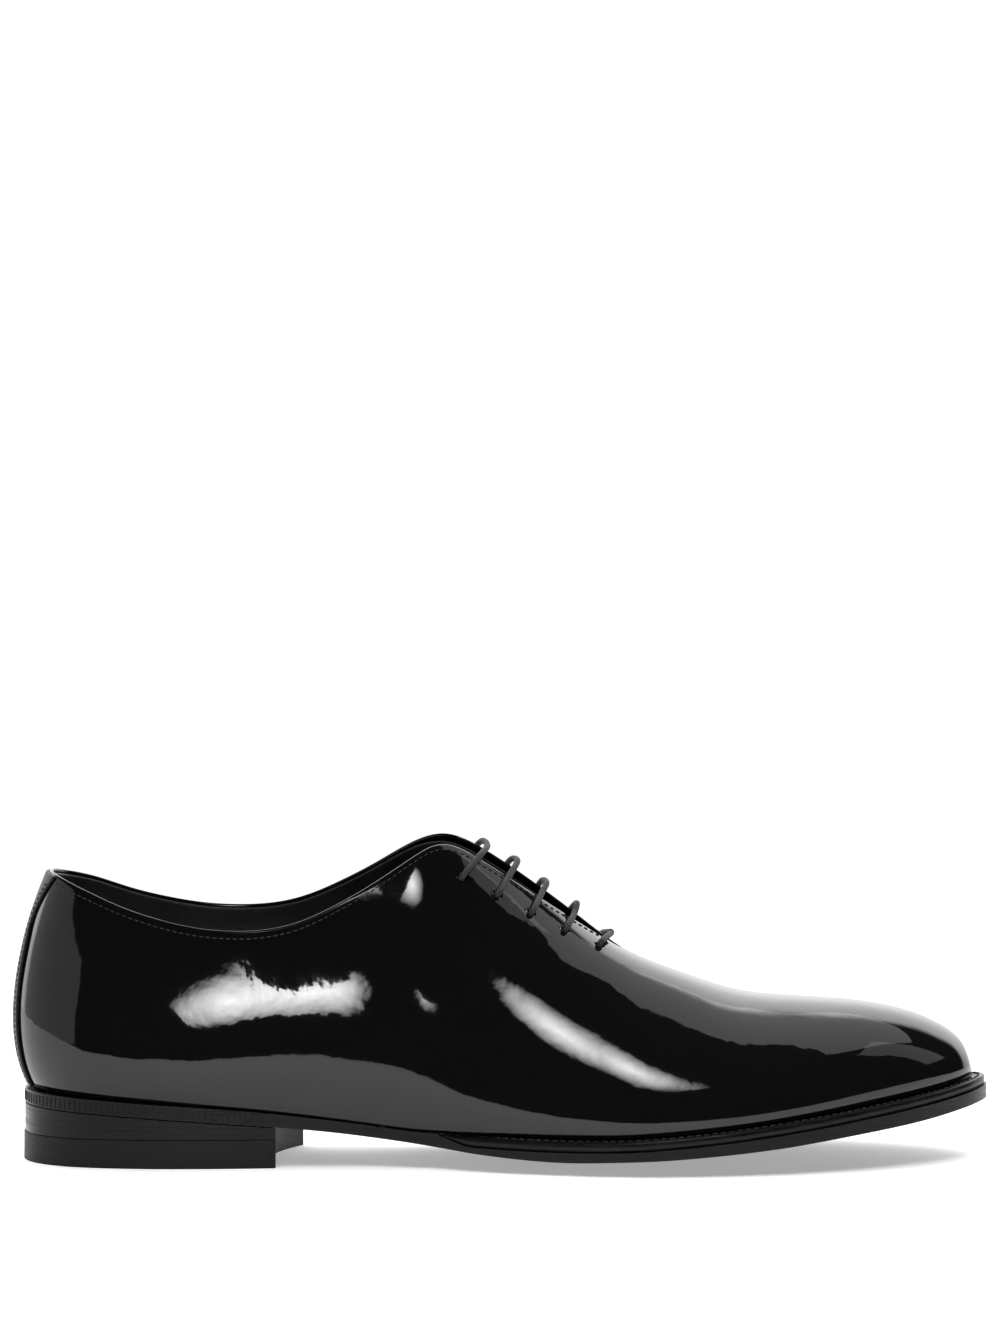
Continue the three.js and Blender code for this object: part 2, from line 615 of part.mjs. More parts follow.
function addUpperParts() {
  addPart('upper', cut(makeUpper(), eyeletPunches(SIDES)), 0x050505, 0.1);
  addPart('back_strip', makeBackStrip(), 0x0a0a0a, 0.5);
  addPart('quarter_lining', cut(makeQuarterLining(), eyeletPunches(SIDES)), 0x1b1b1b, 0.6);
  addPart('vamp_lining', makeVampLining(), 0x1b1b1b, 0.6);
  addPart('heel_counter', makeStiffener(0, 0.25, between(LEVELS, 0.08, 0.62)), 0x8a6a48, 0.8);
  addPart('toe_puff', makeStiffener(0.83, 0.955, LEVELS), 0x8a6a48, 0.8);
  for (const side of SIDES) {
    addPart(`eyelet_stay_${side}`, cut(makeEyeletStay(side), eyeletPunches([side])), 0x222222, 0.8);
  }
  addPart('heel_grip', makeHeelGrip(), 0x222222, 0.9);
  addPart('tongue', makeTongueLayer(0, TONGUE), 0x080808, 0.2);
  addPart('tongue_lining', makeTongueLayer(TONGUE + GAP, 0.8), 0x1b1b1b, 0.6);
}

function addBottomParts() {
  addPart('insole_board', makeBedLayer(0, 1, 4.6, INSOLE_BASE, INSOLE), 0x9a7b56, 0.8);
  addPart('sock_liner', makeBedLayer(0, 1, 4.9, INSOLE_BASE + INSOLE + GAP, SOCK), 0x1b1b1b, 0.6);
  addPart('shank', makeShank(), 0x777777, 0.4, 1);
  addPart('cork_filler', makeFiller(), 0xa5793f, 0.9);
  addPart('welt', makeWelt(), 0x0a0a0a, 0.35);
  addPart('outsole', makeOutsole(), 0x0c0c0c, 0.4);
}

function addHeelParts() {
  for (let i = 0; i < LIFTS; i += 1) {
    const lift = makeLift(i);
    addPart(`heel_lift_${i + 1}`, i === 0 ? cut(lift, nailHoles()) : lift, 0x0c0c0c, 0.35);
  }
  addPart('top_piece', cut(makeTopPiece(), nailHoles()), 0x111111, 0.6);
  nailRods(NAIL.radius, NAIL.sunk, NAIL.sunk + NAIL.length).forEach((nail, i) => {
    addPart(`heel_nail_${i + 1}`, nail, 0xb08d4a, 0.4, 1);
  });
}

function addLace() {
  const route = laceRoute();
  addPart('lace', makeLace(), 0x1a1a1a, 0.8);
  addPart('aglet_lateral', makeAglet(route[0], route[1]), 0x111111, 0.3);
  addPart('aglet_medial', makeAglet(route.at(-1), route.at(-2)), 0x111111, 0.3);
}

addUpperParts();
addBottomParts();
addHeelParts();
const box = new THREE.Box3().setFromObject(group);
addLace();
group.position.set(-(box.min.x + box.max.x) / 2, -(box.min.y + box.max.y) / 2, 0);

export default group;
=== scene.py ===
"""Patent leather wholecut oxford: the fine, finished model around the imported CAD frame."""
import json
import math
import bpy
import bmesh
import numpy as np
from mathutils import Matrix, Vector

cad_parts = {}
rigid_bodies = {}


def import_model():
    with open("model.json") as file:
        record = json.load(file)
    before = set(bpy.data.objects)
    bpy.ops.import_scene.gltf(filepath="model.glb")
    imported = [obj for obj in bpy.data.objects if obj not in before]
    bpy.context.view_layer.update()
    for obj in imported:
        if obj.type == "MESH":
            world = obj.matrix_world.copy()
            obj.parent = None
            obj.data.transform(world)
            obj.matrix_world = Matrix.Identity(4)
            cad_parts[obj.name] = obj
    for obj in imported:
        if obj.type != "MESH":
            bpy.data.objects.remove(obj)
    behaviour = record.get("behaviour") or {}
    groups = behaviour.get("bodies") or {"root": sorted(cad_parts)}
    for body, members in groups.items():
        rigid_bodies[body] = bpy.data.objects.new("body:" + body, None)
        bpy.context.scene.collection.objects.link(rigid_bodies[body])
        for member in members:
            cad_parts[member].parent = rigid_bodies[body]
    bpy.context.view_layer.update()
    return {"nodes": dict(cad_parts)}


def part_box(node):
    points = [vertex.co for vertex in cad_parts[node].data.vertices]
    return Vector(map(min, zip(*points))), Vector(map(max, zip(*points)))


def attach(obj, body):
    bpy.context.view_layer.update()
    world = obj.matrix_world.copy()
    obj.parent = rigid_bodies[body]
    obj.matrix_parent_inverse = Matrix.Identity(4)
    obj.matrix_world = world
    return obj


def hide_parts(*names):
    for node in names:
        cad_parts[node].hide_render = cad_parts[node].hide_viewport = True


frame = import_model()
MM = 0.001
NODES = frame["nodes"]

# ---- the last, as in the CAD model: millimetres from the back of the heel ----
GAP = 0.3
UPPER = 1.2
LINING = 0.9
THROAT = 0.61
EYELET_LEVEL = 0.885
EYELET_STATIONS = [0.588, 0.555, 0.523, 0.49, 0.457]
EYELET_RADIUS = 1.5
BREAST = {"lateral": 0.281, "medial": 0.298, "hollow": 6.0}
TOP_PIECE = 8.6
WELT = 3.0
FEATHER = {
    "lateral": [
        (0, 2.2, 0), (0.047, 6.4, -15.5), (0.094, 18, -25.8), (0.156, 38, -30.8), (0.226, 62, -31.3),
        (0.297, 86, -29.8), (0.362, 108, -29.8), (0.415, 126, -32.5), (0.518, 159, -43.2),
        (0.609, 189, -49.8), (0.659, 206, -50), (0.718, 226, -47.3), (0.779, 246, -41.6),
        (0.835, 263, -33.8), (0.882, 277, -25), (0.926, 288.2, -15.3), (0.965, 296, -5.5), (1, 299.6, 5),
    ],
    "medial": [
        (0, 2.2, 0), (0.047, 6.4, 15.5), (0.094, 18, 25.3), (0.156, 38, 29.5), (0.226, 62, 28.4),
        (0.297, 86, 25.5), (0.362, 108, 23.7), (0.415, 126, 24.6), (0.518, 160, 33.2),
        (0.609, 191, 41.8), (0.659, 208, 44.3), (0.718, 228, 44.6), (0.779, 247, 41.8),
        (0.835, 263.5, 37), (0.882, 276.8, 31), (0.926, 287.8, 23.2), (0.965, 295.8, 14.4), (1, 299.6, 5),
    ],
}
TOPLINE = {
    "lateral": [
        (0, 7.4, 0, 90.2), (0.047, 10.6, -11, 88.6), (0.094, 19.5, -19, 84.8), (0.156, 37, -25.4, 77.8),
        (0.226, 60, -28.3, 72.6), (0.297, 84, -27.2, 73.8), (0.362, 106, -22.4, 84),
        (0.415, 124, -15.8, 95.6),
        (0.44, 132, -9.8, 99.8), (0.468, 142, -7.8, 94.9), (0.518, 158, -5.4, 84.6), (0.563, 173, -2.8, 75),
        (0.61, 188.4, 0, 65.8), (0.659, 205, 0.3, 58.9),
    ],
    "medial": [
        (0, 7.4, 0, 90.2), (0.047, 10.6, 11, 89.2), (0.094, 19.5, 19, 86.9), (0.156, 36, 25.6, 81.2),
        (0.226, 59, 29.2, 77.1), (0.297, 83, 28, 78.6), (0.362, 105, 21.6, 88.2), (0.415, 123, 12.8, 99),
        (0.44, 132.4, 8.2, 102), (0.468, 142, 7, 98.2), (0.518, 158, 5.2, 88), (0.563, 173, 2.8, 77.2),
        (0.61, 188.4, 0, 65.8), (0.659, 205, 0.3, 58.9),
    ],
}
RIDGE = [
    (0.563, 173, 0, 75.6), (0.61, 188.4, 0, 65.8), (0.659, 205, 0.3, 58.9), (0.718, 226, 1, 52.3),
    (0.779, 247, 1.8, 50.4), (0.835, 265, 2.8, 48.8), (0.882, 279, 3.6, 45.8), (0.926, 289.6, 4.3, 41.2),
    (0.965, 296.6, 4.8, 35.2), (1, 299.6, 5, 26),
]
FOOT_LENGTH = [
    (0, 17), (0.1, 17), (0.23, 16.5), (0.3, 17), (0.36, 18.5), (0.44, 20), (0.52, 19), (0.61, 16.5),
    (0.72, 14), (0.84, 12), (0.926, 8.5), (0.965, 5.3), (1, 0),
]
FOOT_LEAN = {
    "lateral": [(0, 35), (0.1, 29), (0.23, 21), (0.36, 15), (0.44, 17), (0.52, 22), (0.61, 25), (0.72, 26),
                (0.84, 26), (0.926, 23), (1, 20)],
    "medial": [(0, 35), (0.1, 30), (0.23, 28), (0.36, 34), (0.44, 31), (0.52, 27), (0.61, 24), (0.72, 24),
               (0.84, 25), (0.926, 23), (1, 20)],
}
HEAD_LENGTH = [
    (0, 28), (0.1, 24), (0.23, 19), (0.3, 22), (0.36, 28), (0.44, 31), (0.52, 27), (0.61, 24), (0.72, 24),
    (0.84, 19), (0.926, 9.5), (0.965, 5), (1, 0),
]
HEAD_SLOPE = [
    (0, 66), (0.1, 72), (0.25, 76), (0.36, 66), (0.44, 46), (0.52, 33), (0.575, 16), (0.61, 0), (1, 0),
]
SOLE_MARGIN = [
    (0, 2.2), (0.2, 1.6), (0.36, 0.4), (0.42, 0.8), (0.47, 3.2),
    (0.55, 4.3), (0.72, 4.3), (0.9, 4.2), (1, 4.6),
]
SEAT_HEIGHT = [
    (0, 22.2), (30, 20.4), (71, 17.5), (100, 14.2), (125, 11.2), (145, 10.6), (170, 10.3), (190, 10.8),
    (215, 12.9), (240, 15.9), (270, 20.2), (290, 23.2), (305, 26),
]
TREAD_EDGE = [
    (0, 18), (30, 16.3), (60, 14.2), (83, 12.4), (100, 10.7), (127, 7.4), (145, 5.4), (168, 4.1), (188, 4.7),
    (206, 5.6), (234, 8.1), (255, 10.8), (282, 14.4), (305, 18.6),
]
TREAD_DROP = [
    (0, 0), (60, 0), (83, 0.3), (100, 1), (127, 2.4), (145, 3.4), (168, 4.1), (188, 4.7), (206, 4.7),
    (234, 3.5), (255, 2.7), (282, 1.4), (305, 0.4),
]
BED_SHARE = 0.6
SIDES = ("lateral", "medial")
OUTWARD = {"lateral": -1.0, "medial": 1.0}
OTHER = {"lateral": "medial", "medial": "lateral"}

# The first heel nail stands 8 mm in front of the back of the heel, on the centre line.
nail_low, nail_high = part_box("heel_nail_1")
ORIGIN = np.array([(nail_low.x + nail_high.x) / 2 - 8 * MM, (nail_low.y + nail_high.y) / 2, 0.0])


def place(points):
    """Millimetres from the back of the heel to metres in the row frame."""
    return np.asarray(points, float) * MM + ORIGIN


def curve(rows, t):
    """Smooth curve through rows (parameter, values...) at an array of parameters."""
    rows = np.asarray(rows, float)
    t = np.atleast_1d(np.asarray(t, float))
    last = len(rows) - 2
    i = np.clip(np.searchsorted(rows[:, 0], t, side="right") - 1, 0, last)
    a, b = rows[i], rows[i + 1]
    before = rows[np.maximum(i - 1, 0)]
    after = rows[np.minimum(i + 2, last + 1)]
    step = (b[:, :1] - a[:, :1])
    s = np.clip((t[:, None] - a[:, :1]) / step, 0, 1)
    slope_a = (b - before) / (b[:, :1] - before[:, :1]) * step
    slope_b = (after - a) / (after[:, :1] - a[:, :1]) * step
    bend = (s - 1) * s
    blend = s * s * (3 - 2 * s)
    return (a + (b - a) * blend + bend * ((s - 1) * slope_a + s * slope_b))[:, 1:]


def across_heel(own, other):
    return [(-other[1][0], *other[1][1:])] + list(own)


def across_toe(own, other):
    return list(own) + [(2 - other[-2][0], *other[-2][1:])]


EDGE = {s: across_toe(across_heel(FEATHER[s], FEATHER[OTHER[s]]), FEATHER[OTHER[s]]) for s in SIDES}
TOP = {s: across_heel(TOPLINE[s], TOPLINE[OTHER[s]]) for s in SIDES}


def number(rows, t):
    return curve(rows, t)[:, 0]


def ramp(x, low, high):
    s = np.clip((np.asarray(x, float) - low) / (high - low), 0, 1)
    return s * s * (3 - 2 * s)


def edge_normal(side, t):
    h = 0.004
    a, b = curve(EDGE[side], t - h), curve(EDGE[side], t + h)
    n = np.stack([a[:, 1] - b[:, 1], b[:, 0] - a[:, 0]], 1) * OUTWARD[side]
    n[t < 1e-6] = (-1, 0)
    n[t > 1 - 1e-6] = (1, 0)
    return n / np.linalg.norm(n, axis=1, keepdims=True)


def edge_point(side, t, out=0.0):
    t = np.atleast_1d(np.asarray(t, float))
    return curve(EDGE[side], t) + edge_normal(side, t) * np.reshape(out, (-1, 1))


def half_width(t):
    return np.linalg.norm(edge_point("lateral", t) - edge_point("medial", t), axis=1) / 2


# ---- the fine surface: every rib of both sides on one grid of stations ----
STEPS = 230
SMOOTHING = 3.0  # stations over which the rib ends are evened out
stations = np.unique(np.concatenate([np.linspace(0, 0.93, STEPS), np.linspace(0.93, 1, 34), [THROAT]]))
THROAT_ROW = int(np.argmin(abs(stations - THROAT)))


def rib_ends(side):
    """The four Bezier points of every rib, as an array of stations by points by xyz."""
    t = stations
    edge, n = edge_point(side, t), edge_normal(side, t)
    foot = np.column_stack([edge, number(SEAT_HEIGHT, edge[:, 0]) + GAP])
    top = np.where((t < THROAT)[:, None], curve(TOP[side], t), curve(RIDGE, t))
    lean = np.radians(number(FOOT_LEAN[side], t))
    slope = np.radians(np.maximum(0, number(HEAD_SLOPE, t)))
    turn = ramp(t, 0.2, 0.45)[:, None]
    flat = n * (1 - turn) + np.array([0, OUTWARD[side]]) * turn
    flat /= np.linalg.norm(flat, axis=1, keepdims=True)
    low = np.column_stack([n * np.sin(lean)[:, None], np.cos(lean)])
    low = low * number(FOOT_LENGTH, t)[:, None] + foot
    high = np.column_stack([flat * np.cos(slope)[:, None], -np.sin(slope)])
    high = high * number(HEAD_LENGTH, t)[:, None] + top
    ends = np.stack([foot, low, high, top], 1)
    ends[-1] = foot[-1]
    return ends


def smooth_ends(ends):
    """Evens the rib ends along the whole feather edge, so that the surface reflects without breaks."""
    loop = np.concatenate([ends["lateral"][::-1], ends["medial"][1:]])
    reach = int(4 * SMOOTHING)
    offsets = np.arange(-reach, reach + 1)
    weights = np.exp(-0.5 * (offsets / SMOOTHING) ** 2)
    count = len(loop)
    fixed = np.minimum(np.arange(count), np.arange(count)[::-1])
    result = np.empty_like(loop)
    for i in range(count):
        near = offsets[abs(offsets) <= fixed[i]]
        w = weights[abs(offsets) <= fixed[i]]
        result[i] = (loop[i + near] * w[:, None, None]).sum(0) / w.sum()
    half = len(stations)
    smooth = {"lateral": result[:half][::-1].copy(), "medial": result[half - 1:].copy()}
    ridge = (smooth["lateral"][THROAT_ROW:, 3] + smooth["medial"][THROAT_ROW:, 3]) / 2
    for side in SIDES:
        smooth[side][THROAT_ROW:, 3] = ridge
    blend = ramp(stations[:THROAT_ROW], THROAT - 0.05, THROAT)[:, None]
    for side in SIDES:
        slit = smooth[side][:THROAT_ROW, 3]
        edge = curve(TOP[side], stations[:THROAT_ROW])
        slit[:, 1] = slit[:, 1] * (1 - blend[:, 0]) + edge[:, 1] * blend[:, 0]
    return smooth


RIBS = smooth_ends({side: rib_ends(side) for side in SIDES})


def bezier(ends, u):
    u = np.asarray(u, float)[None, :, None]
    p = [ends[:, k][:, None, :] for k in range(4)]
    return p[0] * (1 - u) ** 3 + 3 * p[1] * u * (1 - u) ** 2 + 3 * p[2] * u * u * (1 - u) + p[3] * u ** 3


def wall(side, levels):
    """Points and outward normals of one side on a grid of stations by levels."""
    ends = RIBS[side]
    points = bezier(ends, levels)
    h = 1e-3
    up = bezier(ends, np.minimum(1, levels + h)) - bezier(ends, np.maximum(0, levels - h))
    along = np.gradient(points, stations, axis=0)
    along[0] = (0, OUTWARD[side], 0)
    top = levels > 1 - 1e-9
    ahead = np.gradient(RIBS["lateral"][THROAT_ROW:, 3], stations[THROAT_ROW:], axis=0)
    along[THROAT_ROW:, top] = ahead[:, None, :]
    up[THROAT_ROW:, top] = (0, -OUTWARD[side], 0)
    normals = np.cross(along, up) * -OUTWARD[side]
    normals[-1] = (1.1, 0, -1)
    size = np.linalg.norm(normals, axis=2, keepdims=True)
    return points, normals / np.maximum(size, 1e-9)


def wall_at(side, t, u, depth=0.0):
    """One point of the wall and its normal, for pieces that sit on it."""
    rows = np.interp(t, stations, np.arange(len(stations)))
    low = int(min(rows, len(stations) - 2))
    share = rows - low
    points, normals = WALLS[side]
    columns = np.interp(u, LEVELS, np.arange(len(LEVELS)))
    left = int(min(columns, len(LEVELS) - 2))
    across = columns - left

    def sample(grid):
        near = grid[low, left] * (1 - across) + grid[low, left + 1] * across
        far = grid[low + 1, left] * (1 - across) + grid[low + 1, left + 1] * across
        return near * (1 - share) + far * share

    normal = sample(normals)
    normal = normal / np.linalg.norm(normal)
    return sample(points) - normal * depth, normal


LEVELS = np.concatenate([
    np.linspace(0, 0.12, 7)[:-1], np.linspace(0.12, 0.94, 44)[:-1], np.linspace(0.94, 1, 7),
])
WALLS = {side: wall(side, LEVELS) for side in SIDES}


# ---- mesh building ----
def weld(corners, polygons, name):
    """A mesh object from corners in millimetres; equal corners are joined and collapsed sides dropped."""
    corners = np.asarray(corners, float).reshape(-1, 3)
    keys, index = np.unique(np.round(corners, 3), axis=0, return_index=True)
    back = {tuple(key): i for i, key in enumerate(keys)}
    new = [back[tuple(key)] for key in np.round(corners, 3)]
    kept = []
    for polygon in polygons:
        ring = [new[i] for i in polygon]
        ring = [v for k, v in enumerate(ring) if v != ring[k - 1]]
        if len(ring) > 2 and len(set(ring)) == len(ring):
            kept.append(ring)
    mesh = bpy.data.meshes.new(name)
    mesh.from_pydata([tuple(p) for p in place(corners[index])], [], kept)
    mesh.update()
    return add_object(name, mesh)


def add_object(name, data):
    obj = bpy.data.objects.new(name, data)
    bpy.context.scene.collection.objects.link(obj)
    return obj


def finish_mesh(obj, smooth=True, angle=None):
    """Faces outward and smooth; edges sharper than the angle in degrees stay sharp."""
    bm = bmesh.new()
    bm.from_mesh(obj.data)
    bmesh.ops.recalc_face_normals(bm, faces=bm.faces)
    if angle is not None:
        for edge in bm.edges:
            if len(edge.link_faces) == 2 and edge.calc_face_angle(0) > math.radians(angle):
                edge.smooth = False
    for face in bm.faces:
        face.smooth = smooth
    bm.to_mesh(obj.data)
    bm.free()
    return obj


def grid_faces(rows, columns, start=0, closed=False):
    faces = []
    for i in range(rows - 1):
        for j in range(columns if closed else columns - 1):
            k = (j + 1) % columns
            a, b = start + i * columns + j, start + i * columns + k
            faces.append((a, b, b + columns, a + columns))
    return faces


def layer(name, low, high, levels, depth, thickness, rim=0.0, sides=SIDES):
    """A closed layer of the wall between two stations, with a rounded edge along its top."""
    rows = np.where((stations >= low - 1e-9) & (stations <= high + 1e-9))[0]
    corners, faces = [], []
    for side in sides:
        points, normals = wall(side, levels)
        points, normals = points[rows], normals[rows]
        t = stations[rows][:, None, None]
        start = depth(t, levels[None, :, None], side) * np.ones(points.shape[:2] + (1,))
        outer = points - normals * start
        inner = points - normals * (start + thickness)
        up = points[:, -1] - points[:, -2]
        up /= np.maximum(np.linalg.norm(up, axis=1, keepdims=True), 1e-9)
        middle = (outer[:, -1] + inner[:, -1]) / 2
        half = (outer[:, -1] - inner[:, -1]) / 2
        open_rows = stations[rows] < THROAT - 1e-9
        size = (rim * ramp(THROAT - stations[rows], 0, 0.03))[:, None] if rim else np.zeros((len(rows), 1))
        turns = np.linspace(0, math.pi, 9)[1:-1]
        bead = np.stack([middle + half * math.cos(a) + up * size * math.sin(a) for a in turns], 1)
        base = len(corners)
        ring = np.concatenate([outer, bead, inner[:, ::-1]], 1)
        columns = ring.shape[1]
        corners.extend(ring.reshape(-1, 3))
        last = len(levels) - 1
        for i in range(len(rows) - 1):
            for j in range(columns):
                k = (j + 1) % columns
                crosses_top = last <= j < columns - len(levels)
                if crosses_top and not (open_rows[i] or open_rows[i + 1]):
                    continue
                a, b = base + i * columns + j, base + i * columns + k
                faces.append((a, b, b + columns, a + columns))
        first_free = low > 1e-9
        last_free = high < 1 - 1e-9
        count = len(levels)
        for end, free in ((0, first_free), (len(rows) - 1, last_free)):
            if not free:
                continue
            first = base + end * columns
            for j in range(count - 1):
                a, b = first + j, first + j + 1
                c, d = first + columns - 2 - j, first + columns - 1 - j
                faces.append((a, b, c, d))
            if open_rows[end]:
                faces.append([first + j for j in range(count - 1, columns - count + 1)])
    return finish_mesh(weld(corners, faces, name))


def plate(name, lateral, medial, hollow, columns, margin, top, bottom, edge=0.4, angle=40):
    """A closed plate on chords between both sides' edges, with its rim rounded over by `edge`."""
    lateral, medial = np.asarray(lateral, float), np.asarray(medial, float)
    out = margin(lateral)
    a, b = edge_point("lateral", lateral, out), edge_point("medial", medial, out)
    reach = half_width(lateral)
    w = np.asarray(columns, float)[None, :]
    x = a[:, :1] + (b[:, :1] - a[:, :1]) * (w + 1) / 2 - np.reshape(hollow, (-1, 1)) * (1 - w * w)
    y = a[:, 1:] + (b[:, 1:] - a[:, 1:]) * (w + 1) / 2
    across = np.where(reach[:, None] > 0, w * (reach + out)[:, None] / np.maximum(reach[:, None], 1e-6), 1)
    high = np.dstack([x, y, top(x, across)])
    low = np.dstack([x, y, bottom(x, across)])
    rows, count = x.shape
    corners = np.concatenate([high.reshape(-1, 3), low.reshape(-1, 3)])
    size = rows * count
    faces = grid_faces(rows, count)
    faces += [tuple(size + i for i in reversed(face)) for face in grid_faces(rows, count)]
    rim = [i * count for i in range(rows)] + [(rows - 1) * count + j for j in range(1, count)]
    rim += [i * count + count - 1 for i in range(rows - 2, -1, -1)] + list(range(count - 2, 0, -1))
    for k, first in enumerate(rim):
        second = rim[(k + 1) % len(rim)]
        faces.append((first, first + size, second + size, second))
    obj = finish_mesh(weld(corners, faces, name), angle=angle)
    if edge:
        bevel = obj.modifiers.new("edge", "BEVEL")
        bevel.width = edge * MM
        bevel.segments = 3
        bevel.limit_method = "ANGLE"
        bevel.angle_limit = math.radians(angle)
        bevel.harden_normals = False
        apply_modifiers(obj)
    return obj


def apply_modifiers(obj):
    bpy.context.view_layer.update()
    done = bpy.data.meshes.new_from_object(obj.evaluated_get(bpy.context.evaluated_depsgraph_get()))
    obj.modifiers.clear()
    obj.data = done
    for polygon in obj.data.polygons:
        polygon.use_smooth = True


def present(obj, body, slot, material, *replaced):
    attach(obj, body)
    if replaced:
        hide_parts(*replaced)
    obj.data.materials.clear()
    obj.data.materials.append(material)
    return obj


# ---- materials ----
def new_material(name, colour, roughness, metallic=0.0, ior=1.5, specular=0.5):
    material = bpy.data.materials.new(name)
    material.use_nodes = True
    shader = material.node_tree.nodes["Principled BSDF"]
    shader.inputs["Base Color"].default_value = (*colour, 1)
    shader.inputs["Roughness"].default_value = roughness
    shader.inputs["Metallic"].default_value = metallic
    shader.inputs["IOR"].default_value = ior
    shader.inputs["Specular IOR Level"].default_value = specular
    return material, shader


def texture(material, kind, scale, coordinate="Object", stretch=(1, 1, 1), **values):
    """A texture node on the object's own coordinates; its first output is the pattern."""
    tree = material.node_tree
    source = tree.nodes.new("ShaderNodeTexCoord")
    mapping = tree.nodes.new("ShaderNodeMapping")
    mapping.inputs["Scale"].default_value = stretch
    node = tree.nodes.new(kind)
    node.inputs["Scale"].default_value = scale
    for key, value in values.items():
        node.inputs[key.replace("_", " ")].default_value = value
    tree.links.new(source.outputs[coordinate], mapping.inputs["Vector"])
    tree.links.new(mapping.outputs["Vector"], node.inputs["Vector"])
    return node


def bump(material, shader, height, depth, strength=1.0):
    """Adds a height pattern, depth in metres, on top of the bumps already there."""
    tree = material.node_tree
    node = tree.nodes.new("ShaderNodeBump")
    node.inputs["Strength"].default_value = strength
    node.inputs["Distance"].default_value = depth
    tree.links.new(height, node.inputs["Height"])
    normal = shader.inputs["Normal"]
    if normal.is_linked:
        tree.links.new(normal.links[0].from_socket, node.inputs["Normal"])
    tree.links.new(node.outputs["Normal"], normal)


def vary(material, shader, socket, pattern, low, high):
    """Drives a shader socket by a pattern between two values or colours."""
    tree = material.node_tree
    node = tree.nodes.new("ShaderNodeValToRGB")
    for stop, value in zip(node.color_ramp.elements, (low, high)):
        stop.color = (*value, 1) if isinstance(value, tuple) else (value, value, value, 1)
    node.color_ramp.elements[0].position = 0.3
    node.color_ramp.elements[1].position = 0.7
    tree.links.new(pattern, node.inputs["Fac"])
    tree.links.new(node.outputs["Color"], shader.inputs[socket])


def patent_leather():
    material, shader = new_material("patent_leather", (0.0035, 0.0035, 0.0037), 0.035)
    ripple = texture(material, "ShaderNodeTexNoise", 70, Detail=2.0, Roughness=0.45)
    bump(material, shader, ripple.outputs[0], 0.00014)
    peel = texture(material, "ShaderNodeTexNoise", 420, Detail=1.0)
    bump(material, shader, peel.outputs[0], 0.000012)
    dust = texture(material, "ShaderNodeTexNoise", 35, Detail=4.0)
    vary(material, shader, "Roughness", dust.outputs[0], 0.025, 0.06)
    return material


def grained_leather(name, low, high, roughness, grain=900, depth=0.00008):
    material, shader = new_material(name, low, roughness)
    cells = texture(material, "ShaderNodeTexVoronoi", grain)
    bump(material, shader, cells.outputs[0], depth)
    fine = texture(material, "ShaderNodeTexNoise", 2600, Detail=3.0)
    bump(material, shader, fine.outputs[0], depth * 0.6)
    tone = texture(material, "ShaderNodeTexNoise", 60, Detail=5.0)
    vary(material, shader, "Base Color", tone.outputs[0], low, high)
    vary(material, shader, "Roughness", tone.outputs[0], roughness - 0.06, roughness + 0.08)
    return material


def sole_edge(name, roughness):
    """Inked and burnished leather: faint layers along the edge and a worn shine."""
    material, shader = new_material(name, (0.003, 0.003, 0.003), roughness, specular=0.22)
    layers = texture(material, "ShaderNodeTexNoise", 300, stretch=(0.15, 0.15, 4), Detail=4.0)
    bump(material, shader, layers.outputs[0], 0.00005)
    fibre = texture(material, "ShaderNodeTexNoise", 1500, Detail=3.0)
    bump(material, shader, fibre.outputs[0], 0.00004)
    vary(material, shader, "Roughness", layers.outputs[0], roughness - 0.08, roughness + 0.12)
    vary(material, shader, "Base Color", layers.outputs[0], (0.002, 0.002, 0.002), (0.006, 0.0058, 0.0055))
    return material


def rubber():
    material, shader = new_material("heel_rubber", (0.004, 0.004, 0.004), 0.55, specular=0.25)
    specks = texture(material, "ShaderNodeTexNoise", 1800, Detail=3.0)
    bump(material, shader, specks.outputs[0], 0.00005)
    vary(material, shader, "Roughness", specks.outputs[0], 0.45, 0.65)
    return material


def braided_cotton():
    material, shader = new_material("waxed_cotton", (0.03, 0.03, 0.031), 0.62)
    tree = material.node_tree
    waves = [texture(material, "ShaderNodeTexWave", 1.0, "UV", (420, turn, 1)) for turn in (3.77, -3.77)]
    for wave in waves:
        wave.bands_direction = "DIAGONAL"
    both = tree.nodes.new("ShaderNodeMath")
    both.operation = "MAXIMUM"
    for wave, socket in zip(waves, both.inputs):
        tree.links.new(wave.outputs[1], socket)
    bump(material, shader, both.outputs[0], 0.00018)
    # painted shade: the braid's grooves are coloured darker and its ridges lighter, following the bump's
    # height
    vary(material, shader, "Base Color", both.outputs[0], (0.012, 0.012, 0.013), (0.05, 0.05, 0.052))
    fuzz = texture(material, "ShaderNodeTexNoise", 5200, Detail=3.0)
    bump(material, shader, fuzz.outputs[0], 0.00006)
    return material


def raw_material(name, low, high, roughness, scale, metallic=0.0):
    """Hidden parts: board, cork, steel and brass, with their own mottling."""
    material, shader = new_material(name, low, roughness, metallic)
    pattern = texture(material, "ShaderNodeTexNoise", scale, Detail=6.0)
    vary(material, shader, "Base Color", pattern.outputs[0], low, high)
    bump(material, shader, pattern.outputs[0], 0.0002 if metallic == 0 else 0.00003)
    return material


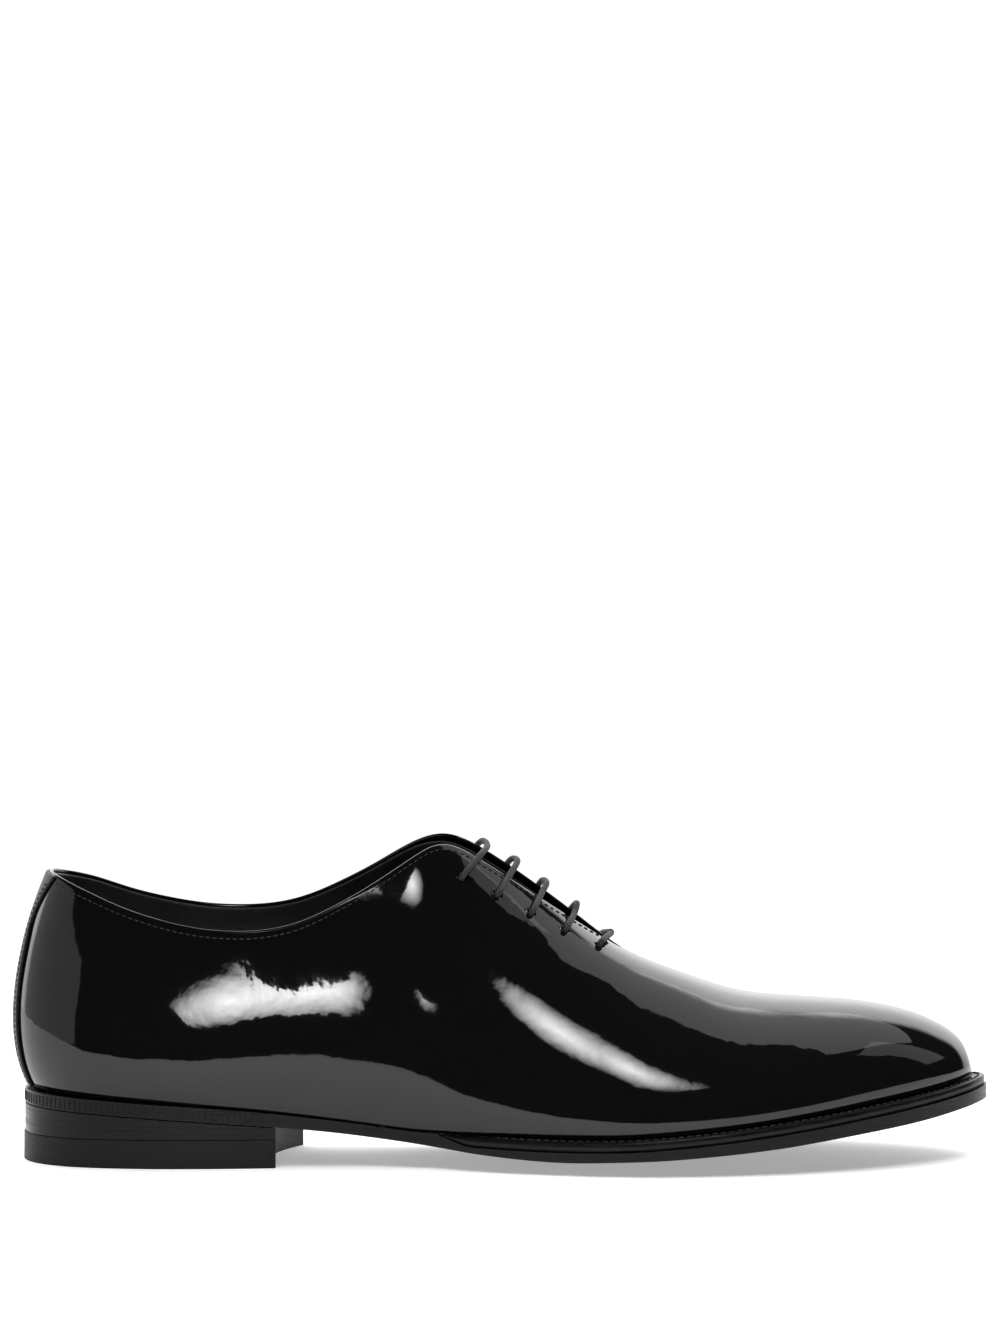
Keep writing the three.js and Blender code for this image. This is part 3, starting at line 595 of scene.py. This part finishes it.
PATENT = patent_leather()
MATTE = grained_leather("matte_leather", (0.008, 0.008, 0.0085), (0.016, 0.016, 0.017), 0.5)
LINING_SKIN = grained_leather(
    "lining_leather", (0.018, 0.018, 0.019), (0.032, 0.032, 0.033), 0.5, 700, 0.00006)
SOLE = sole_edge("sole_edge", 0.32)
RUBBER = rubber()
COTTON = braided_cotton()
THREAD = grained_leather("thread", (0.012, 0.012, 0.012), (0.03, 0.03, 0.03), 0.55, 3000, 0.00003)
RAW = {
    "stiffener": raw_material("stiffener", (0.3, 0.21, 0.13), (0.42, 0.31, 0.2), 0.8, 400),
    "insole_leather": raw_material("insole_leather", (0.36, 0.26, 0.16), (0.46, 0.34, 0.22), 0.8, 300),
    "cork": raw_material("cork", (0.3, 0.18, 0.08), (0.5, 0.33, 0.17), 0.9, 500),
    "spring_steel": raw_material("spring_steel", (0.35, 0.35, 0.37), (0.45, 0.45, 0.47), 0.35, 250, 1.0),
    "brass": raw_material("brass", (0.5, 0.37, 0.17), (0.62, 0.48, 0.25), 0.35, 500, 1.0),
    "aglet_plastic": raw_material("aglet_plastic", (0.008, 0.008, 0.008), (0.012, 0.012, 0.012), 0.25, 900),
}


# ---- upper, linings and tongue ----
def lining_depth(t, u, side=None):
    heel = (1 - ramp(t, 0.25, 0.35)) * (1 - ramp(u, 0.62, 0.9))
    toe = ramp(t, 0.78, 0.83)
    eyelets = ramp(t, 0.4, 0.44) * ramp(u, 0.62, 0.76) * (t < THROAT)
    return UPPER + GAP + (1.0 + GAP) * np.maximum(heel, toe) + (0.6 + GAP) * eyelets


def skin_wave(points):
    """Slow swells of the stretched skin, in millimetres, as a smooth field over space."""
    x, y, z = points[..., 0], points[..., 1], points[..., 2]
    swell = np.sin(x / 13.0 + z / 9.0 + 0.7) * np.sin(z / 11.0 - y / 17.0 + 1.3)
    fold = np.sin(x / 5.1 + z / 7.3) * np.exp(-((x - 205) / 26) ** 2) * ramp(z, 22, 45)
    return 0.07 * swell + 0.05 * fold


def punch(obj, radius):
    """Cuts the eyelet holes square to the surface."""
    cutters = []
    for side in SIDES:
        for t in EYELET_STATIONS:
            middle, normal = wall_at(side, t, EYELET_LEVEL)
            cutters.append(rod_mesh("punch", middle + normal * 3, middle - normal * 5, radius, 20))
    group = join(cutters, "punches")
    cut = obj.modifiers.new("holes", "BOOLEAN")
    cut.operation = "DIFFERENCE"
    cut.solver = "EXACT"
    cut.object = group
    apply_modifiers(obj)
    bpy.data.objects.remove(group)
    return obj


def rod_mesh(name, start, end, radius, sides=12, taper=1.0, rings=2):
    start, end = np.asarray(start, float), np.asarray(end, float)
    axis = (end - start) / np.linalg.norm(end - start)
    side = np.cross(axis, (0.3, 0.9, 0.2) if abs(axis[1]) < 0.8 else (1, 0, 0))
    side /= np.linalg.norm(side)
    other = np.cross(axis, side)
    corners = []
    for k in range(rings):
        share = k / (rings - 1)
        size = radius * (1 + (taper - 1) * share)
        for a in np.linspace(0, 2 * math.pi, sides, endpoint=False):
            out = side * math.cos(a) + other * math.sin(a)
            corners.append(start + (end - start) * share + size * out)
    faces = grid_faces(rings, sides, closed=True)
    faces.append(list(range(sides))[::-1])
    faces.append(list(range((rings - 1) * sides, rings * sides)))
    return finish_mesh(weld(corners, faces, name), angle=50)


def join(objects, name):
    """Several mesh objects made into one."""
    bm = bmesh.new()
    for obj in objects:
        bm.from_mesh(obj.data)
    mesh = bpy.data.meshes.new(name)
    bm.to_mesh(mesh)
    bm.free()
    for obj in objects:
        bpy.data.objects.remove(obj)
    return add_object(name, mesh)


def build_upper():
    swells = {side: skin_wave(WALLS[side][0])[..., None] for side in SIDES}
    obj = layer("wholecut", 0, 1, LEVELS, lambda t, u, side: swells[side], UPPER, rim=0.9)
    punch(obj, EYELET_RADIUS)
    return present(obj, "shoe", "patent_leather", PATENT, "upper")


def build_linings():
    levels = np.concatenate([np.linspace(0.06, 0.9, 30), np.linspace(0.92, 0.99, 5)])
    quarter = layer("quarter_lining_skin", 0, 0.6, levels, lining_depth, LINING, rim=0.6)
    punch(quarter, EYELET_RADIUS)
    present(quarter, "shoe", "lining_leather", LINING_SKIN, "quarter_lining")
    levels = np.append(np.linspace(0.08, 0.94, 24), 1)
    vamp = layer("vamp_lining_skin", 0.61, 0.955, levels, lining_depth, LINING)
    present(vamp, "shoe", "lining_leather", LINING_SKIN, "vamp_lining")
    grip = layer("heel_grip_skin", 0, 0.15, np.linspace(0.36, 0.88, 24),
                 lambda t, u, side: lining_depth(t, u) + LINING + GAP, 0.8, rim=0.4)
    present(grip, "shoe", "lining_leather", LINING_SKIN, "heel_grip")


def build_stays():
    """The facing stays stop short of the edge, so that only the inked leather shows there."""
    levels = np.linspace(0.765, 0.96, 12)
    for side in SIDES:
        stay = layer(f"stay_{side}", 0.44, 0.6, levels, lambda t, u, side: UPPER + GAP, 0.6, sides=(side,))
        punch(stay, EYELET_RADIUS)
        present(stay, "shoe", "matte_leather", MATTE, f"eyelet_stay_{side}")


TONGUE_DEPTH = 6.2
TONGUE_BASE_DEPTH = 3.2


def tongue_rows(extra):
    """Rows of points across the tongue, bridged between the facings and evened out."""
    rows = []
    levels = np.linspace(0.7, 1, 15)
    for t in np.linspace(0.437, 0.66, 46):
        rise = float(ramp(t, 0.6, 0.66))
        depth = TONGUE_DEPTH + (TONGUE_BASE_DEPTH - TONGUE_DEPTH) * rise + extra
        sides = {s: [wall_at(s, t, u, depth)[0] for u in levels] for s in SIDES}
        gap = np.linspace(sides["lateral"][-1], sides["medial"][-1], 9)[1:-1]
        row = np.array(sides["lateral"] + list(gap) + sides["medial"][::-1])
        for _ in range(14):
            row[1:-1] = (row[:-2] + 2 * row[1:-1] + row[2:]) / 4
        rows.append(row)
    grid = np.array(rows)
    across = np.linspace(-1, 1, grid.shape[1])
    curl = 7.5 * np.abs(across) ** 3.5
    ahead = np.linspace(1, 0, len(grid)) ** 6
    slide = (grid[8] - grid[0]) / np.linalg.norm(grid[8] - grid[0], axis=1, keepdims=True)
    return grid + slide[None] * (curl[:, None] * ahead[:, None, None])


def sheet_mesh(name, face, back):
    """A closed sheet from two grids of points."""
    rows, columns = face.shape[:2]
    size = rows * columns
    corners = np.concatenate([face.reshape(-1, 3), back.reshape(-1, 3)])
    faces = grid_faces(rows, columns)
    faces += [tuple(size + i for i in reversed(f)) for f in grid_faces(rows, columns)]
    rim = [j for j in range(columns)] + [i * columns + columns - 1 for i in range(1, rows)]
    rim += [(rows - 1) * columns + j for j in range(columns - 2, -1, -1)]
    rim += [i * columns for i in range(rows - 2, 0, -1)]
    for k, first in enumerate(rim):
        second = rim[(k + 1) % len(rim)]
        faces.append((second, first, first + size, second + size))
    return finish_mesh(weld(corners, faces, name), angle=60)


def round_edges(obj, width, segments=3, angle=50):
    bevel = obj.modifiers.new("edge", "BEVEL")
    bevel.width = width * MM
    bevel.segments = segments
    bevel.limit_method = "ANGLE"
    bevel.angle_limit = math.radians(angle)
    apply_modifiers(obj)
    return obj


def build_tongue():
    skin = round_edges(sheet_mesh("tongue_skin", tongue_rows(0), tongue_rows(1.0)), 0.35)
    present(skin, "tongue_flap", "patent_leather", PATENT, "tongue")
    back = round_edges(sheet_mesh("tongue_back", tongue_rows(1.3), tongue_rows(2.1)), 0.25)
    present(back, "tongue_flap", "lining_leather", LINING_SKIN, "tongue_lining")


STRIP_WIDTH = [(0, 0.03), (0.35, 0.028), (0.72, 0.024), (0.82, 0.022), (0.93, 0.034), (1, 0.046)]


def strip_row(u, depth, count=13):
    width = number(STRIP_WIDTH, u)[0]
    row = []
    for share in np.linspace(-1, 1, count):
        side = "lateral" if share < 0 else "medial"
        row.append(wall_at(side, abs(share) * width, u, depth)[0])
    return row


def build_back_strip():
    levels = np.linspace(0.02, 1, 50)
    face = np.array([strip_row(u, -GAP - 0.7) for u in levels])
    back = np.array([strip_row(u, -0.05) for u in levels])
    strip = round_edges(sheet_mesh("back_strip_skin", face, back), 0.3)
    present(strip, "shoe", "matte_leather", MATTE, "back_strip")


# ---- sole ----
def bed_height(x, across):
    w = np.minimum(1, np.abs(across))
    shape = np.shape(x)
    flat = np.ravel(x)
    drop = BED_SHARE * number(TREAD_DROP, flat).reshape(shape)
    return number(SEAT_HEIGHT, flat).reshape(shape) - drop * (1 - w * w)


def tread_height(x, across):
    w = np.minimum(1, np.abs(across))
    shape = np.shape(x)
    edge = number(TREAD_EDGE, np.ravel(x)).reshape(shape)
    return np.maximum(0, edge - number(TREAD_DROP, np.ravel(x)).reshape(shape) * (1 - w * w))


def outsole_top(x, across):
    return bed_height(x, across) - (WELT + GAP) * ramp(x, 128, 142)


def sole_margin(t):
    return number(SOLE_MARGIN, t)


ROWS = np.concatenate([
    np.linspace(0, 0.1, 26)[:-1], np.linspace(0.1, 0.9, 120)[:-1], np.linspace(0.9, 1, 40),
])
COLUMNS = np.linspace(-1, 1, 33)


def build_sole():
    zero = np.zeros(len(ROWS))
    outsole = plate("outsole_leather", ROWS, ROWS, zero, COLUMNS, sole_margin,
                    lambda x, w: outsole_top(x, w) + 0.12, tread_height, 0.3)
    present(outsole, "shoe", "sole_edge", SOLE, "outsole")
    sock = plate("sock", ROWS, ROWS, zero, COLUMNS, lambda t: np.full(len(t), -4.9),
                 lambda x, w: bed_height(x, w) + 5.6, lambda x, w: bed_height(x, w) + 4.6, 0.2)
    present(sock, "shoe", "lining_leather", LINING_SKIN, "sock_liner")
    build_welt()


def build_welt():
    """A strip on the outsole's rim that thins out to nothing behind the ball."""
    corners, faces = [], []
    for side in SIDES:
        rows = stations[stations >= 0.43]
        base = len(corners)
        margin = sole_margin(rows) - 0.8
        x = edge_point(side, rows)[:, 0]
        drop = WELT * np.maximum(0.05, ramp(x, 128, 142))
        profile = [(-8.0, 0), (margin - 0.5, 0), (margin, 0.12), (margin + 0.1, 0.5), (margin, 1),
                   (margin - 0.1, 1.03), (-8.0, 1.03)]
        ring = []
        for out, share in profile:
            p = edge_point(side, rows, out * np.ones(len(rows)))
            reach = np.maximum(half_width(rows), 9)
            z = bed_height(p[:, 0], 1 + np.minimum(0, out) / reach) - drop * share
            ring.append(np.column_stack([p, z]))
        ring = np.stack(ring, 1)
        corners.extend(ring.reshape(-1, 3))
        faces += grid_faces(len(rows), len(profile), base, closed=True)
        faces.append(list(range(base, base + len(profile))))
    welt = finish_mesh(weld(corners, faces, "welt_strip"), angle=60)
    present(welt, "shoe", "sole_edge", SOLE, "welt")


def heel_rows():
    shares = np.concatenate([np.linspace(0, 0.3, 20)[:-1], np.linspace(0.3, 1, 40)])
    return shares * BREAST["lateral"], shares * BREAST["medial"], BREAST["hollow"] * ramp(shares, 0.5, 1)


def lift_level(x, share):
    under = tread_height(x, np.ones(np.shape(x))) - GAP
    return TOP_PIECE + GAP + (under - TOP_PIECE - GAP) * share


def build_heel():
    lateral, medial, hollow = heel_rows()
    for i in range(3):
        lift = plate(f"lift_{i + 1}", lateral, medial, hollow, COLUMNS, sole_margin,
                     lambda x, w, i=i: lift_level(x, (i + 1) / 3) - 0.04,
                     lambda x, w, i=i: lift_level(x, i / 3), 0.07)
        present(lift, "shoe", "sole_edge", SOLE, f"heel_lift_{i + 1}")
    rubber_piece = plate("top_piece_rubber", lateral, medial, hollow, COLUMNS,
                         lambda t: sole_margin(t) + 0.3,
                         lambda x, w: np.full(np.shape(x), TOP_PIECE + 0.1),
                         lambda x, w: np.zeros(np.shape(x)), 0.3)
    present(rubber_piece, "shoe", "heel_rubber", RUBBER, "top_piece")


# ---- lace ----
LACE_INSIDE = 4.75
LACE_OUTSIDE = -1.6
BARS = [
    (185, 70.5, 0.008), (174.2, 79.6, 0.006), (164.6, 86.2, 0.007), (155.4, 93.2, 0.01), (145.9, 98, 0.014),
]
TUCKED_LATERAL = [
    (231, -10, 20.2), (221, -14, 18.4), (210, -16, 17.1), (199, -15, 16.2), (188, -12, 15.1), (177, -11, 14.8),
    (166, -13, 15), (155, -17, 15.4), (147, -21, 16.8), (142, -24.5, 21), (140, -26.5, 28), (139.5, -27, 38),
    (139, -27, 48), (138.6, -26.4, 58),
]
TUCKED_MEDIAL = [
    (139, 23.6, 60), (139.6, 24.6, 50), (140, 25, 40), (141, 24.4, 29), (143, 22, 21.5), (148, 18, 17),
    (156, 14, 15.4), (167, 10.5, 14.9), (178, 9, 14.9), (189, 10, 15.3), (200, 13, 16), (211, 16, 17.2),
    (222, 17, 19),
]


def bar_points(i, start, end):
    t = EYELET_STATIONS[i]
    x, z, ahead = BARS[i]

    def hole(side, depth):
        return wall_at(side, t, EYELET_LEVEL, depth)[0]

    def shoulder(side):
        return wall_at(side, t + ahead, 1, LACE_OUTSIDE - 0.4)[0]

    return [
        hole(start, LACE_INSIDE), hole(start, 1.6), hole(start, LACE_OUTSIDE), shoulder(start), (x, 0.5, z),
        shoulder(end), hole(end, LACE_OUTSIDE), hole(end, 1.6), hole(end, LACE_INSIDE),
    ]


def lace_route():
    under = [wall_at("lateral", t, u, LACE_INSIDE)[0]
             for t, u in ((0.475, 0.72), (0.51, 0.79), (0.55, 0.8), (0.577, 0.82))]
    route = TUCKED_LATERAL + under
    for i in range(5):
        sides = ("lateral", "medial") if i % 2 == 0 else ("medial", "lateral")
        route = route + bar_points(i, *sides)
    return route + [wall_at("medial", 0.462, 0.72, LACE_INSIDE)[0]] + TUCKED_MEDIAL


def tube(name, path, radius, sides=12):
    """A round cord along a path, with its length in metres and its turn as texture coordinates."""
    tangents = np.gradient(path, axis=0)
    tangents /= np.linalg.norm(tangents, axis=1, keepdims=True)
    run = np.concatenate([[0], np.cumsum(np.linalg.norm(np.diff(path, axis=0), axis=1))]) * MM
    side = np.cross(tangents[0], (0, 0, 1))
    corners = []
    for point, tangent in zip(path, tangents):
        side = side - tangent * (side @ tangent)
        side /= np.linalg.norm(side)
        up = np.cross(tangent, side)
        for a in np.linspace(0, 2 * math.pi, sides, endpoint=False):
            corners.append(point + radius * (side * math.cos(a) + up * math.sin(a)))
    faces = grid_faces(len(path), sides, closed=True)
    caps = [list(range(sides))[::-1], list(range((len(path) - 1) * sides, len(path) * sides))]
    mesh = bpy.data.meshes.new(name)
    mesh.from_pydata([tuple(p) for p in place(corners)], [], faces + caps)
    uv_map = mesh.uv_layers.new(name="UVMap")
    for polygon in mesh.polygons:
        polygon.use_smooth = True
        places = [v % sides for v in polygon.vertices]
        wraps = max(places) - min(places) > sides / 2
        for loop in polygon.loop_indices:
            vertex = mesh.loops[loop].vertex_index
            turn = vertex % sides
            if wraps and turn == 0:
                turn = sides
            uv_map.data[loop].uv = (run[vertex // sides], turn / sides)
    return add_object(name, mesh)


def build_lace():
    path = centripetal(lace_route(), 6)
    obj = tube("lace_cord", path, 1.0)
    present(obj, "shoe", "waxed_cotton", COTTON, "lace")


def centripetal(points, count):
    """Points on a smooth curve through the route's points."""
    points = np.array([tuple(p) for p in points], float)
    gaps = np.sqrt(np.linalg.norm(np.diff(points, axis=0), axis=1))
    at = np.concatenate([[0], np.cumsum(gaps)])
    rows = np.column_stack([at, points])
    last = len(points) - 1
    where = np.interp(np.linspace(0, last, last * count + 1), np.arange(len(points)), at)
    return curve(rows, where)


# ---- stitches ----
def stitches(name, path, normals, pitch, radius, gap=0.3):
    """A row of separate stitches along a path, each dipping into the leather at both ends."""
    path, normals = np.asarray(path, float), np.asarray(normals, float)
    run = np.concatenate([[0], np.cumsum(np.linalg.norm(np.diff(path, axis=0), axis=1))])
    count = int(run[-1] / pitch)
    shares = (0, 0.15, 0.5, 0.85, 1)
    lifts = (-0.9, 0.15, 0.55, 0.15, -0.9)
    corners, faces = [], []
    for i in range(count):
        for share, lift in zip(shares, lifts):
            at = (i + gap / 2 + share * (1 - gap)) * pitch
            point = np.array([np.interp(at, run, path[:, k]) for k in range(3)])
            normal = np.array([np.interp(at, run, normals[:, k]) for k in range(3)])
            normal /= np.linalg.norm(normal)
            ahead = np.array([np.interp(at + 0.3, run, path[:, k]) - np.interp(at - 0.3, run, path[:, k])
                              for k in range(3)])
            across = np.cross(ahead, normal)
            across /= np.linalg.norm(across)
            size = radius * (0.6 if share in (0, 1) else 1)
            for a in np.linspace(0, 2 * math.pi, 6, endpoint=False):
                out = across * math.cos(a) + normal * math.sin(a)
                corners.append(point + normal * radius * lift + size * out)
        base = i * len(shares) * 6
        faces += grid_faces(len(shares), 6, base, closed=True)
        faces.append(list(range(base, base + 6))[::-1])
        faces.append(list(range(base + (len(shares) - 1) * 6, base + len(shares) * 6)))
    mesh = bpy.data.meshes.new(name)
    mesh.from_pydata([tuple(p) for p in place(corners)], [], faces)
    obj = finish_mesh(add_object(name, mesh))
    present(obj, "shoe", "waxed_cotton", THREAD)


def wall_path(side, pairs, depth=-0.05):
    samples = [wall_at(side, t, u, depth) for t, u in pairs]
    return [p for p, n in samples], [n for p, n in samples]


def below_top(side, t, distance):
    """The level that lies a distance in millimetres under the top edge at a station."""
    row = int(np.argmin(abs(stations - t)))
    line = WALLS[side][0][row]
    run = np.concatenate([np.cumsum(np.linalg.norm(np.diff(line, axis=0), axis=1)[::-1])[::-1], [0]])
    return float(np.interp(-distance, -run, LEVELS))


def build_stitches():
    for side in SIDES:
        pairs = [(t, below_top(side, t, 1.7)) for t in np.linspace(0.05, 0.597, 260)]
        stitches(f"topline_stitch_{side}", *wall_path(side, pairs), 2.1, 0.2)
        pairs = [(number(STRIP_WIDTH, u)[0] - 0.005, u) for u in np.linspace(0.04, 0.98, 120)]
        stitches(f"strip_stitch_{side}", *wall_path(side, pairs, -1.0), 1.8, 0.17)
        rows = np.linspace(0.485, 0.999, 260)
        edge = edge_point(side, rows, sole_margin(rows) - 2.4)
        height = bed_height(edge[:, 0], np.ones(len(rows))) + 0.02
        stitches(f"welt_stitch_{side}", np.column_stack([edge, height]), np.tile((0, 0, 1), (len(rows), 1)),
                 2.6, 0.28, gap=0.15)


def build_wheeling():
    """Short upright ridges pressed into the sole edge round the heel seat."""
    ridges = []
    for side in SIDES:
        for t in np.arange(0.004, 0.27, 0.0052):
            edge = edge_point(side, t, sole_margin(t) - 0.02)[0]
            top = float(outsole_top(np.array([edge[0]]), np.ones(1))[0]) - 0.6
            low = float(tread_height(np.array([edge[0]]), np.ones(1))[0]) + 0.5
            ridges.append(rod_mesh("ridge", (*edge, top), (*edge, low), 0.22, 6))
    group = join(ridges, "seat_wheeling")
    for polygon in group.data.polygons:
        polygon.use_smooth = True
    present(group, "shoe", "sole_edge", SOLE)


# ---- carried-over CAD pieces ----
def dress_cad():
    """The CAD pieces that stay in the scene get a material each."""
    slots = {
        "heel_counter": "stiffener", "toe_puff": "stiffener", "insole_board": "insole_leather",
        "cork_filler": "cork", "shank": "spring_steel",
        "aglet_lateral": "aglet_plastic", "aglet_medial": "aglet_plastic",
    }
    slots.update({f"heel_nail_{i + 1}": "brass" for i in range(7)})
    for name, slot in slots.items():
        for obj in pieces_of(NODES[name]):
            obj.data.materials.clear()
            obj.data.materials.append(RAW[slot])


def pieces_of(obj):
    if obj.type == "MESH":
        return [obj]
    return [child for child in obj.children_recursive if child.type == "MESH"]


# ---- camera, floor and light ----
EYE = np.array([149.9, -1300.0, 166.0])
LENS = 148.2
PITCH = 0.51  # degrees down


def build_camera():
    data = bpy.data.cameras.new("camera")
    data.sensor_fit = "HORIZONTAL"
    data.sensor_width = 36
    data.lens = LENS
    data.clip_end = 60
    camera = add_object("camera", data)
    camera.location = place(EYE)
    camera.rotation_euler = (math.radians(90 - PITCH), 0, 0)
    bpy.context.scene.camera = camera


def softbox(name, target, azimuth, elevation, distance, width, height, radiance, roll=0.0, spread=180.0):
    """A rectangular light facing a point of the shoe; azimuth 0 is the camera's side, 90 the toe's side."""
    data = bpy.data.lights.new(name, "AREA")
    data.shape = "RECTANGLE"
    data.size, data.size_y = width, height
    data.energy = radiance * math.pi * width * height
    data.spread = math.radians(spread)
    lamp = add_object(name, data)
    a, e = math.radians(azimuth), math.radians(elevation)
    away = Vector((math.sin(a) * math.cos(e), -math.cos(a) * math.cos(e), math.sin(e)))
    spot = Vector(place(target))
    lamp.location = spot + away * distance
    lamp.rotation_euler = away.to_track_quat("Z", "Y").to_euler()
    lamp.rotation_euler.rotate_axis("Z", math.radians(roll))
    lamp.visible_camera = False
    return lamp


def build_floor():
    """A pale table: its front edge is close, so that the dark room shows in the leather above it."""
    corners = place([(-900, -240, 0), (1200, -240, 0), (1200, 900, 0), (-900, 900, 0)])
    mesh = bpy.data.meshes.new("floor")
    mesh.from_pydata([tuple(p) for p in corners], [], [(0, 1, 2, 3)])
    floor = add_object("floor", mesh)
    material, shader = new_material("floor_paper", (0.9, 0.9, 0.9), 0.7, specular=0.1)
    grain = texture(material, "ShaderNodeTexNoise", 40)
    vary(material, shader, "Roughness", grain.outputs[0], 0.65, 0.75)
    shader.inputs["Emission Color"].default_value = (1, 1, 1, 1)
    shader.inputs["Emission Strength"].default_value = 0.35
    floor.data.materials.append(material)


def math_node(tree, operation, first, second):
    node = tree.nodes.new("ShaderNodeMath")
    node.operation = operation
    for value, socket in zip((first, second), node.inputs):
        if isinstance(value, (int, float)):
            socket.default_value = value
        else:
            tree.links.new(value, socket)
    return node.outputs[0]


def range_node(tree, value, low, high, start, end):
    node = tree.nodes.new("ShaderNodeMapRange")
    node.interpolation_type = "SMOOTHSTEP"
    tree.links.new(value, node.inputs["Value"])
    for name, amount in (("From Min", low), ("From Max", high), ("To Min", start), ("To Max", end)):
        node.inputs[name].default_value = amount
    return node.outputs["Result"]


def build_world():
    """White for the camera; the leather reflects a dark room with a bright backdrop behind the shoe."""
    world = bpy.data.worlds.new("studio")
    bpy.context.scene.world = world
    world.use_nodes = True
    tree = world.node_tree
    plain = tree.nodes["Background"]
    plain.inputs["Color"].default_value = (1, 1, 1, 1)
    plain.inputs["Strength"].default_value = 1.05
    room = tree.nodes.new("ShaderNodeBackground")
    coordinates = tree.nodes.new("ShaderNodeTexCoord")
    split = tree.nodes.new("ShaderNodeSeparateXYZ")
    tree.links.new(coordinates.outputs["Generated"], split.inputs["Vector"])
    backdrop = range_node(tree, split.outputs["Y"], 0.5, 0.62, 0.0, 1.0)
    rise = range_node(tree, split.outputs["Z"], 0.0, 0.5, 1.6, 3.4)
    roof = range_node(tree, split.outputs["Z"], 0.72, 0.82, 1.0, 0.0)
    lit = math_node(tree, "MULTIPLY", math_node(tree, "MULTIPLY", backdrop, rise), roof)
    tree.links.new(math_node(tree, "ADD", lit, 0.03), room.inputs["Strength"])
    path = tree.nodes.new("ShaderNodeLightPath")
    mix = tree.nodes.new("ShaderNodeMixShader")
    tree.links.new(path.outputs["Is Camera Ray"], mix.inputs["Fac"])
    tree.links.new(room.outputs["Background"], mix.inputs[1])
    tree.links.new(plain.outputs["Background"], mix.inputs[2])
    tree.links.new(mix.outputs["Shader"], tree.nodes["World Output"].inputs["Surface"])


def build_lights():
    softbox("quarter_strip", (44, -34, 54), 0, 12.5, 0.51, 0.16, 0.1, 0.17, roll=-60, spread=16)
    softbox("vamp_strip", (198, -42, 37), 3, 55, 0.56, 0.22, 0.42, 0.27, roll=-36, spread=22)
    softbox("heel_panel", (20, -20, 50), -92, 12, 1.0, 2.0, 0.7, 0.6)
    softbox("roof_panel", (215, -20, 45), 138, 61, 1.2, 0.75, 0.55, 1.1)
    softbox("toe_panel", (280, -10, 35), 98, 44, 1.0, 0.25, 0.7, 0.75)
    fill = softbox("overhead", (150, 0, 0), 0, 90, 1.8, 2.6, 2.2, 2.4)
    fill.visible_glossy = False


def show():
    bpy.context.scene.view_settings.view_transform = "Standard"
    bpy.context.scene.view_settings.look = "None"


build_camera()
build_lace()
build_upper()
build_back_strip()
build_linings()
build_stays()
build_tongue()
build_sole()
build_heel()
build_stitches()
build_wheeling()
dress_cad()
build_floor()
build_world()
build_lights()
show()
